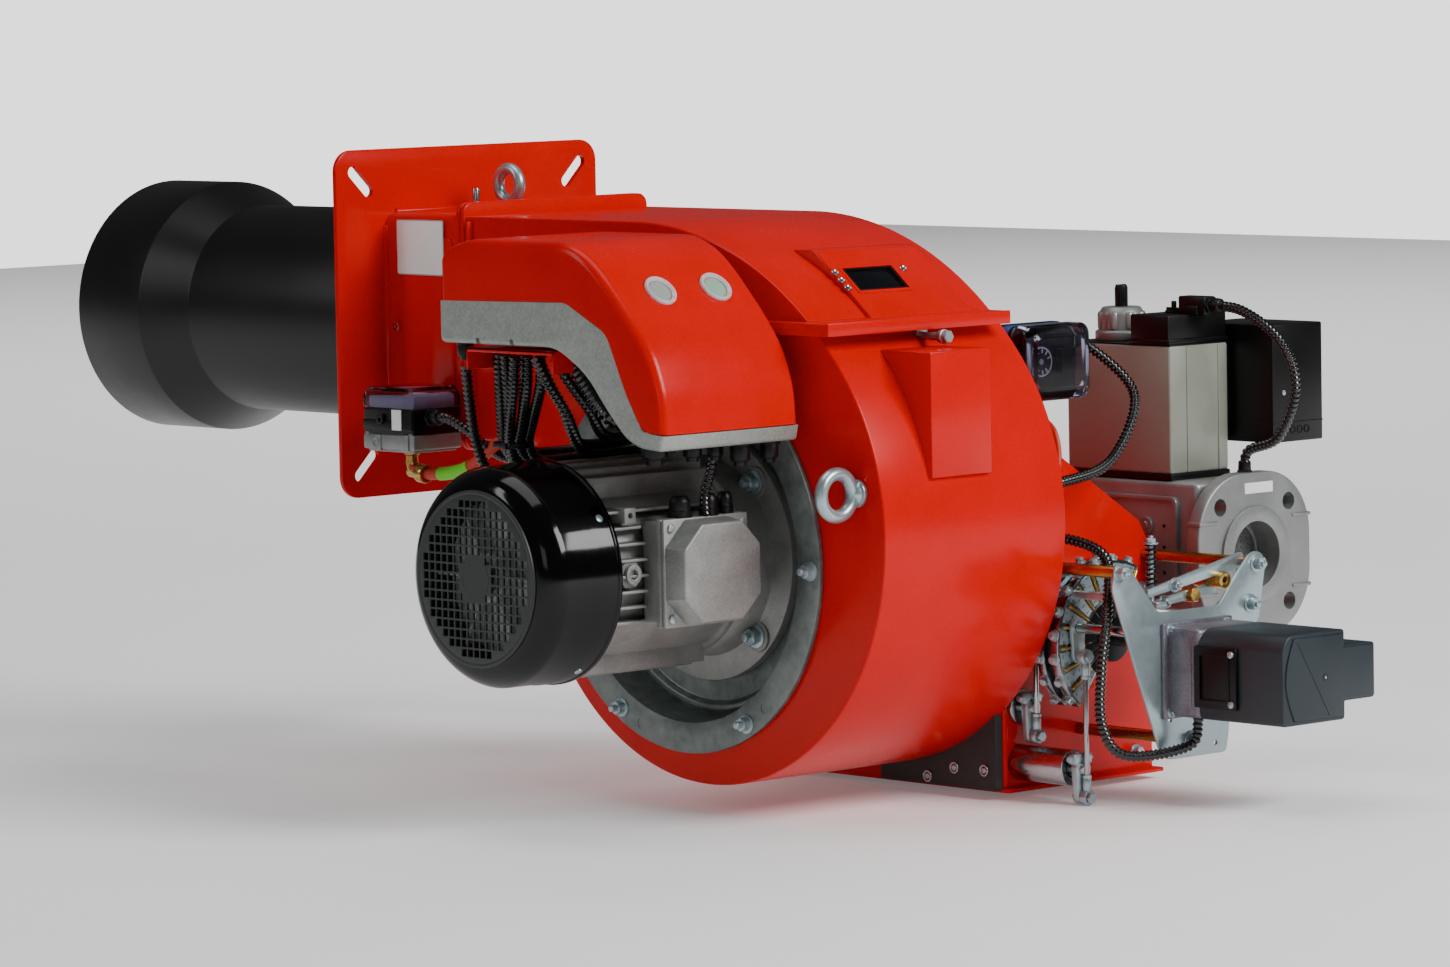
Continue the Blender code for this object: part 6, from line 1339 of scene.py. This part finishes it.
def rear_switch():
    x, y, z = (0.615, 0.650, 0.678), (0.150, 0.243), (-0.074, 0.002)
    centre = ((y[0] + y[1]) / 2, (z[0] + z[1]) / 2)
    half = ((y[1] - y[0]) / 2, (z[1] - z[0]) / 2)
    back = slab(rounded(half[0] - 0.002, half[1] - 0.002, 0.010, centre), "X", x[0], x[0] + 0.012, 0.0015)
    blue = slab(rounded(half[0] - 0.001, half[1] - 0.001, 0.010, centre), "X", x[1] - 0.015, x[1] - 0.004, 0.0010)
    dark = [slab(rounded(half[0], half[1], 0.011, centre), "X", x[0] + 0.011, x[1] - 0.014, 0.0012),
            slab(rounded(half[0] - 0.001, half[1] - 0.001, 0.010, centre), "X", x[1] - 0.005, x[1], 0.0008)]
    arm = block((x[0] + 0.004, x[1] - 0.004), (DRUM_FAR + FIT, y[0] + 0.004), (z[0] + 0.018, z[1] - 0.018), 0.001)
    board = slab(rounded(half[0] - 0.012, half[1] - 0.010, 0.006, centre), "X", x[1], x[1] + 0.0040, 0.0012)
    dial_low, dial_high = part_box("rear_switch_dial")
    dial_at = ((dial_low.y + dial_high.y) / 2, (dial_low.z + dial_high.z) / 2)
    board = carved(board, rod("X", dial_at, x[1] - 0.001, x[1] + 0.006, 0.0160, 0, 48))
    tower = block((x[1] + 0.003, x[1] + 0.012), (centre[0] + 0.014, centre[0] + 0.034),
                  (centre[1] - 0.012, centre[1] + 0.012), 0.001)
    assemble("rear_switch_case", BODY,
             [(PLASTIC, [*dark, arm, board, tower]), (RED, [back]), (BLUE, [blue])], ["rear_switch_body"])
    cover = slab(rounded(half[0], half[1], 0.013, centre), "X", x[1] + FIT, x[2] - 0.008, 0.0012)
    raised = bmesh.new()
    rings_at = []
    for inset, along in ((0.0006, x[2] - 0.0085), (0.010, x[2])):
        points = rounded(half[0] - inset, half[1] - inset, 0.013 - inset * 0.5, centre)
        rings_at.append(raised.faces.new([raised.verts.new(at_axis("X", a, b, along)) for a, b in points]))
    bmesh.ops.bridge_loops(raised, edges=[*rings_at[0].edges, *rings_at[1].edges])
    bmesh.ops.recalc_face_normals(raised, faces=raised.faces)
    soften(raised, 0.0012, 2)
    shape = carved(cover, slab(rounded(half[0] - 0.003, half[1] - 0.003, 0.010, centre), "X", x[1] - 0.002,
                                        x[2] - 0.007))
    shape_top = carved(raised, slab(rounded(half[0] - 0.013, half[1] - 0.013, 0.006, centre), "X", x[2] - 0.012,
                                    x[2] - 0.003))
    assemble("rear_switch_window", BODY, [(CLEAR, [shape, shape_top])], ["rear_switch_cover"])
    disc = rod("X", dial_at, dial_low.x, dial_high.x - 0.0005, 0.0146, 0.0010, 48)
    teeth = []
    for step in range(24):
        turn = about_x(dial_at, math.tau * step / 24)
        teeth.append(moved(block((dial_low.x + 0.001, dial_high.x - 0.001), (0.0138, 0.0150), (-0.0006, 0.0006),
                                 0.0002), turn))
    marks = []
    for step in range(10):
        turn = about_x(dial_at, math.radians(20 + 32 * step))
        marks.append(moved(block((dial_high.x - 0.0007, dial_high.x - 0.0003), (0.0085, 0.0128), (-0.0007, 0.0007),
                                 0), turn))
    centre_screw = rod("X", dial_at, dial_high.x - 0.001, dial_high.x, 0.0030, 0.0005, 24)
    edge = ring("X", dial_at, dial_high.x - 0.0010, dial_high.x - 0.0002, 0.0144, 0.0132, 0.0002, 48)
    assemble("dial_wheel", "dial",
             [(PLASTIC, [disc, *teeth]), (PAPER, [*marks, edge]), (ZINC, [centre_screw])],
             ["rear_switch_dial"])
    plain_hose("rear_air_tube", ((0.640, 0.200, -0.0775), (0.6415, 0.200, -0.090), (0.664, 0.198, -0.108),
                                 (0.675, 0.190, -0.142), (0.690, 0.152, -0.186), (0.692, 0.1259, -0.190)),
               0.003, RUBBER, ["rear_switch_tube"])
    corrugated("rear_switch_cable", ((0.637, 0.2465, -0.020), (0.637, 0.266, -0.0205), (0.690, 0.285, -0.072),
                                     (0.705, 0.235, -0.135), (0.706, 0.165, -0.152), (0.706, 0.1262, -0.150)),
               HOSE_R, nodes=["rear_switch_hose"])
    assemble("rear_switch_gland", BODY,
             [(PLASTIC, [*gland("Y", (0.637, -0.020), y[1], 1, 0.0085),
                         rod("Z", (0.640, 0.200), -0.079, z[0], 0.0042, 0.0006, 20)])])


# Gas train
GAS = (0.4285, -0.244)
GAS_END = 0.724
VALVE_START = 0.434
GAS_BORE_R = 0.0345
PIPE_BORE_R = 0.0353
HOLE_CIRCLE_R = 0.0725


def gas_bore():
    return rod("X", GAS, VALVE_START - 0.01, GAS_END + 0.01, GAS_BORE_R, 0, 64)


def valve_body():
    y, z = (0.372, 0.485), (-0.302, -0.1685)
    flange_outline = rounded(0.084, 0.084, 0.066, GAS, 14)
    flange = slab(flange_outline, "X", GAS_END - 0.020, GAS_END - 0.003, 0.0022, 3)
    raised = ring("X", GAS, GAS_END - 0.004, GAS_END, 0.0500, 0.0340, 0.0010, 96)
    neck = turned("X", GAS, [(GAS_END - 0.060, 0), (GAS_END - 0.060, 0.054), (GAS_END - 0.030, 0.060),
                             (GAS_END - 0.019, 0.070), (GAS_END - 0.019, 0)], 64, 0.002)
    holes = [rod("X", place, GAS_END - 0.03, GAS_END + 0.01, 0.009, 0, 32)
             for place in ring_points(GAS, HOLE_CIRCLE_R, 4, 45)]
    lugs = [block((GAS_END - 0.019, GAS_END - 0.0015), sorted((GAS[0] + side * 0.056, GAS[0] + side * 0.0835)),
                  (GAS[1] + low, GAS[1] + low + 0.0035), 0.001)
            for side in (1, -1) for low in (-0.0380, 0.0345)]
    flange = carved(flange, gas_bore(), *holes)
    neck = carved(neck, gas_bore())
    body = carved(block((VALVE_START + 0.012, GAS_END - 0.030), y, z, 0.006, 3), gas_bore())
    outlet = carved(turned("X", GAS, [(VALVE_START, 0), (VALVE_START, 0.070), (VALVE_START + 0.018, 0.070),
                                      (VALVE_START + 0.030, 0.055), (VALVE_START + 0.030, 0)], 64, 0.002), gas_bore())
    side = y[0]
    panel = slab(rounded(0.078, 0.052, 0.006, (0.590, -0.238)), "Y", side - 0.0045, side + 0.001, 0.0012)
    panel_rim = carved(slab(rounded(0.080, 0.054, 0.007, (0.590, -0.238)), "Y", side - 0.0060, side + 0.001, 0.001),
                       slab(rounded(0.0765, 0.0505, 0.005, (0.590, -0.238)), "Y", side - 0.01, side + 0.004))
    dots = [rod("Y", place, side - 0.0052, side - 0.004, 0.0019, 0.0003, 14)
            for place in ((0.652, -0.214), (0.652, -0.236), (0.652, -0.262), (0.600, -0.205), (0.600, -0.270))]
    plug = [ring("Y", (0.628, -0.214), side - 0.0075, side - 0.004, 0.0090, 0.0040, 0.0008, 32),
            hexagon("Y", (0.628, -0.214), side - 0.0085, side - 0.004, 0.0075)]
    label = slab(rounded(0.021, 0.0055, 0.001, (GAS[0] + 0.006, GAS[1] + 0.0680)), "X", GAS_END - 0.0031,
                 GAS_END - 0.0022, 0.0002)
    assemble("valve_casting", BODY,
             [(DIE_CAST, [flange, raised, neck, *lugs, body, outlet, panel, panel_rim, *plug]), (PLASTIC, dots),
              (PAPER, [label])], ["gas_valve"])
    mesh = carved(rod("X", GAS, GAS_END - 0.034, GAS_END - 0.0325, 0.0344, 0, 64),
                  rod("X", GAS, GAS_END - 0.036, GAS_END - 0.030, 0.001, 0, 12))
    seat = ring("X", GAS, GAS_END - 0.0330, GAS_END - 0.0290, 0.0344, 0.0295, 0.0008, 64)
    assemble("bore_filter", BODY, [(GAUZE, [mesh]), (DIE_CAST, [seat])])


def coil_block():
    x, y, z_low, top = (0.510, 0.656), (0.375, 0.462), -0.1682, -0.030
    case = block(x, y, (z_low + 0.006, top - 0.001), 0.0030, 3)
    foot = block((x[0] - 0.001, x[1] + 0.001), (y[0] - 0.001, y[1] + 0.001), (z_low, z_low + 0.0065), 0.0015)
    seams = [block((x[1] - 0.001, x[1] + 0.0010), (level - 0.0009, level + 0.0009), (z_low + 0.007, top - 0.003),
                   0.0004) for level in (0.4000, 0.4470)]
    gap = block((x[0] + 0.001, x[1] - 0.001), (y[0] + 0.001, y[1] - 0.001), (top - 0.002, top), 0.0006)
    assemble("coil_casing", BODY, [(COIL, [case, *seams]), (PLASTIC, [foot, gap])], ["solenoid_box"])
    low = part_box("solenoid_cap")[0]
    cap = block((0.601, 0.654), y, (low.z, 0.0), 0.0016, 2)
    skirt = block((0.599, 0.656), (y[0] - 0.001, y[1] + 0.001), (low.z, low.z + 0.005), 0.001)
    plug_y = (0.4095, 0.4275)
    plug = [block((0.636, 0.672), plug_y, (-0.001, 0.018), 0.0016, 2),
            block((0.640, 0.664), (plug_y[0] - 0.003, plug_y[1] + 0.003), (0.0, 0.0085), 0.001)]
    toggle = [rod("Z", (0.622, 0.4185), -0.0005, 0.0026, 0.0092, 0.0006, 24),
              rod("Z", (0.622, 0.4185), 0.002, 0.0120, 0.0028, 0.0006, 16),
              block((0.612, 0.632), (0.4170, 0.4200), (0.002, 0.0055), 0.0006)]
    assemble("connector_cap", BODY, [(PLASTIC, [cap, skirt, *plug, *toggle])], ["solenoid_cap"])
    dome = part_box("coil_dome")
    centre = (0.548, 0.4185)
    base = turned("Z", centre, [(dome[0].z, 0), (dome[0].z, 0.0275), (dome[0].z + 0.0085, 0.0275),
                                (dome[0].z + 0.0105, 0.0250), (dome[0].z + 0.0105, 0)], 64, 0.0008)
    drum = turned("Z", centre, [(dome[0].z + 0.010, 0), (dome[0].z + 0.010, 0.0240), (dome[1].z - 0.007, 0.0240),
                                (dome[1].z, 0.0195), (dome[1].z, 0)], 64, 0.0012)
    flutes = [rod("Z", place, dome[0].z + 0.011, dome[1].z - 0.005, 0.0062, 0.0022, 24)
              for place in ring_points(centre, 0.0200, 8, 20)]
    assemble("adjuster_dome", BODY, [(DIE_CAST, [base, drum, *flutes])], ["coil_dome"])
    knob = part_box("dome_knob")
    post = turned("Z", centre, [(knob[0].z, 0), (knob[0].z, 0.0065), (knob[1].z - 0.0015, 0.0062),
                                (knob[1].z, 0.0050), (knob[1].z, 0)], 32, 0.0004)
    ribs = [rod("Z", place, knob[0].z + 0.001, knob[1].z - 0.003, 0.0007, 0.0002, 8)
            for place in ring_points(centre, 0.0061, 18)]
    pointer = block((centre[0] - 0.0006, centre[0] + 0.0006), (centre[1] - 0.0055, centre[1] + 0.001),
                    (knob[1].z - 0.0008, knob[1].z + 0.0003), 0.0002)
    assemble("adjuster_knob", "knob", [(PLASTIC, [post, *ribs]), (PAPER, [pointer])], ["dome_knob"])
    x, y, z = (0.600, 0.711), (0.469, 0.545), (-0.134, -0.013)
    case = block(x, y, z, 0.0018, 2)
    foot = block((x[0] + 0.004, 0.652), (0.4623, y[0] + 0.004), (z[0] + 0.004, -0.034), 0.001)
    knockouts = [ring("X", (0.478 + 0.0105 * step, z[0] + 0.012), x[1] - 0.0008, x[1] + 0.0006, 0.0042, 0.0030,
                      0.0003, 24) for step in range(5)]
    side_knob = rod("Y", (0.690, z[0] + 0.034), y[1] - 0.001, y[1] + 0.0015, 0.0070, 0.0006, 28)
    seam = block((x[0] - 0.0004, x[1] + 0.0004), (y[0] - 0.0004, y[1] + 0.0002), (z[0] + 0.0195, z[0] + 0.0207),
                 0.0003)
    screw = rod("X", (0.485, -0.083), x[1] - 0.001, x[1] + 0.0016, 0.0027, 0.0006, 20)
    assemble("actuator_case", BODY,
             [(PLASTIC, [case, foot, seam, *knockouts, side_knob]), (ZINC, [screw])], ["actuator_box"])
    corrugated("valve_cable", ((0.6726, 0.4185, 0.009), (0.715, 0.421, 0.004), (0.762, 0.425, -0.025),
                               (0.779, 0.428, -0.070), (0.756, 0.428, -0.122), (0.718, 0.424, -0.138),
                               (0.712, 0.424, -0.1575)), HOSE_R, nodes=["valve_hose"])
    bush = [*gland("X", (0.4185, 0.009), 0.672, 1, 0.0080), *gland("Z", (0.712, 0.424), -0.1625, 1, 0.0070)]
    assemble("valve_cable_glands", BODY, [(PLASTIC, bush)])


def supply_line():
    bend = 0.060
    run_x = 0.066
    start = Vector((VALVE_START - FIT, GAS[0], GAS[1]))
    points = [start.lerp(Vector((run_x + bend, GAS[0], GAS[1])), step / 6) for step in range(6)]
    points += [Vector((x, GAS[0], z))
               for x, z in arc((run_x + bend, GAS[1] + bend), bend, -math.pi / 2, -math.pi, 14)]
    points += [Vector((run_x, y, z)) for y, z in arc((GAS[0] - bend, -bend), bend, 0, math.pi / 2, 14)]
    wall_y = 0.1213
    points += [Vector((run_x, points[-1].y + (wall_y - points[-1].y) * step / 4, 0)) for step in range(1, 5)]
    outer = tube(points, (0.038,), 48)
    ends = [points[0] + Vector((0.01, 0, 0)), *points, points[-1] + Vector((0, -0.01, 0))]
    inner = tube(ends, (0.035,), 40)
    pipe_shape = carved(outer, inner, rod("Z", (0.300, GAS[0]), GAS[1] - 0.06, GAS[1] + 0.06, 0.0043, 0, 20))
    rims = [ring("X", GAS, VALVE_START - 0.0203, VALVE_START - 0.0003, 0.070, PIPE_BORE_R, 0.0016, 96),
            ring("Y", (run_x, 0), wall_y, wall_y + 0.012, 0.056, PIPE_BORE_R, 0.0014, 64)]
    collar = carved(ring("X", GAS, 0.285, 0.315, 0.047, PIPE_BORE_R, 0.0014, 64),
                    rod("Z", (0.300, GAS[0]), GAS[1] - 0.06, GAS[1] + 0.06, 0.0043, 0, 20))
    bead = [(0.2845 + dx, 0.0378 + dr) for dx, dr in ((0, 0), (-0.003, 0.0002), (-0.001, 0.0026))]
    weld = turned("X", GAS, bead, 48)
    bolts = [*bolts_at("X", ring_points(GAS, 0.0560, 8, 22), VALVE_START - 0.0203, -1, 0.013),
             *bolts_at("Y", ring_points((run_x, 0), 0.0475, 4, 45), wall_y + 0.012, 1, 0.010)]
    assemble("supply_pipe", BODY, [(RED, [pipe_shape, *rims, collar, weld]), (ZINC, bolts)],
             ["gas_pipe"])


def inner_parts():
    """Parts seen only through an opening keep their CAD solids, each with its own finish."""
    looks = {"gas_lance": STEEL, "flame_disc": STEEL, "ignition_electrode": CERAMIC, "flame_probe": CERAMIC,
             "impeller": RING, "rotor_shaft": STEEL, "burner_controller": PLASTIC, "gas_butterfly": ZINC}
    for node, look in looks.items():
        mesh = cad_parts[node].data
        mesh.materials.clear()
        mesh.materials.append(look)


# Studio: a pale floor, a broad key from the right and weaker fills, so that the two sides differ in tone
FILL_LIGHT = 0.08
PAPER_LIGHT = 2.0
FLOOR_HALF = 9.0


def stage_floor():
    bm = bmesh.new()
    bmesh.ops.create_grid(bm, x_segments=1, y_segments=1, size=FLOOR_HALF)
    bmesh.ops.translate(bm, vec=(0, 0, FLOOR_Z), verts=bm.verts)
    mesh = bpy.data.meshes.new("studio_floor")
    bm.to_mesh(mesh)
    bm.free()
    mesh.materials.append(FLOOR)
    floor = bpy.data.objects.new("studio_floor", mesh)
    SCENE.collection.objects.link(floor)


def area_light(name, at, target, size, power, tint=(1, 1, 1)):
    data = bpy.data.lights.new(name, "AREA")
    data.shape = "RECTANGLE"
    data.size, data.size_y = size
    data.energy = power
    data.color = tint
    lamp = bpy.data.objects.new(name, data)
    lamp.location = at
    lamp.rotation_euler = (Vector(target) - Vector(at)).to_track_quat("-Z", "Y").to_euler()
    # the wash lifts the floor behind the burner and isn't mirrored in its glossy pieces
    lamp.visible_glossy = name != "floor wash"
    SCENE.collection.objects.link(lamp)


def studio():
    stage_floor()
    world = bpy.data.worlds.new("studio")
    world.use_nodes = True
    tree = world.node_tree
    fill = tree.nodes["Background"]
    fill.inputs["Color"].default_value = (1, 1, 1, 1)
    fill.inputs["Strength"].default_value = FILL_LIGHT
    paper = add(tree, "ShaderNodeBackground", {"Color": (1, 1, 1, 1), "Strength": PAPER_LIGHT})
    seen = add(tree, "ShaderNodeLightPath").outputs["Is Camera Ray"]
    both = add(tree, "ShaderNodeMixShader", {0: seen, 1: fill.outputs[0], 2: paper.outputs[0]})
    tree.links.new(both.outputs[0], tree.nodes["World Output"].inputs["Surface"])
    SCENE.world = world
    area_light("key", (4.4, 0.9, 2.6), (0.4, 0, -0.1), (2.4, 2.0), 235)
    area_light("top", (0.2, -0.6, 3.2), (0.3, 0, 0), (2.6, 1.8), 36)
    area_light("strip", (-1.6, -3.2, 1.9), (0.3, -0.1, -0.1), (0.5, 2.2), 22)
    area_light("front", (2.6, -4.2, 0.9), (0.4, 0, -0.1), (1.2, 1.2), 6)
    area_light("floor wash", (-4.2, 4.8, 4.0), (-4.2, 4.8, 0), (7.0, 7.0), 330)


corrugated("servo_cable", SERVO_HOSE, HOSE_R, nodes=["servo_hose"])
cables()
plate_and_tube()
front_box()
volute()
console()
eye_bolts()
motor_ring()
motor_frame()
terminal()
cowl()
rotating_parts()
hood_and_tray()
lamps()
air_casing()
damper_sets()
link_rods()
bearing_sleeve()
cam_set()
carrier()
cam_frame()
servo()
front_switch()
rear_switch()
valve_body()
coil_block()
supply_line()
inner_parts()
studio()
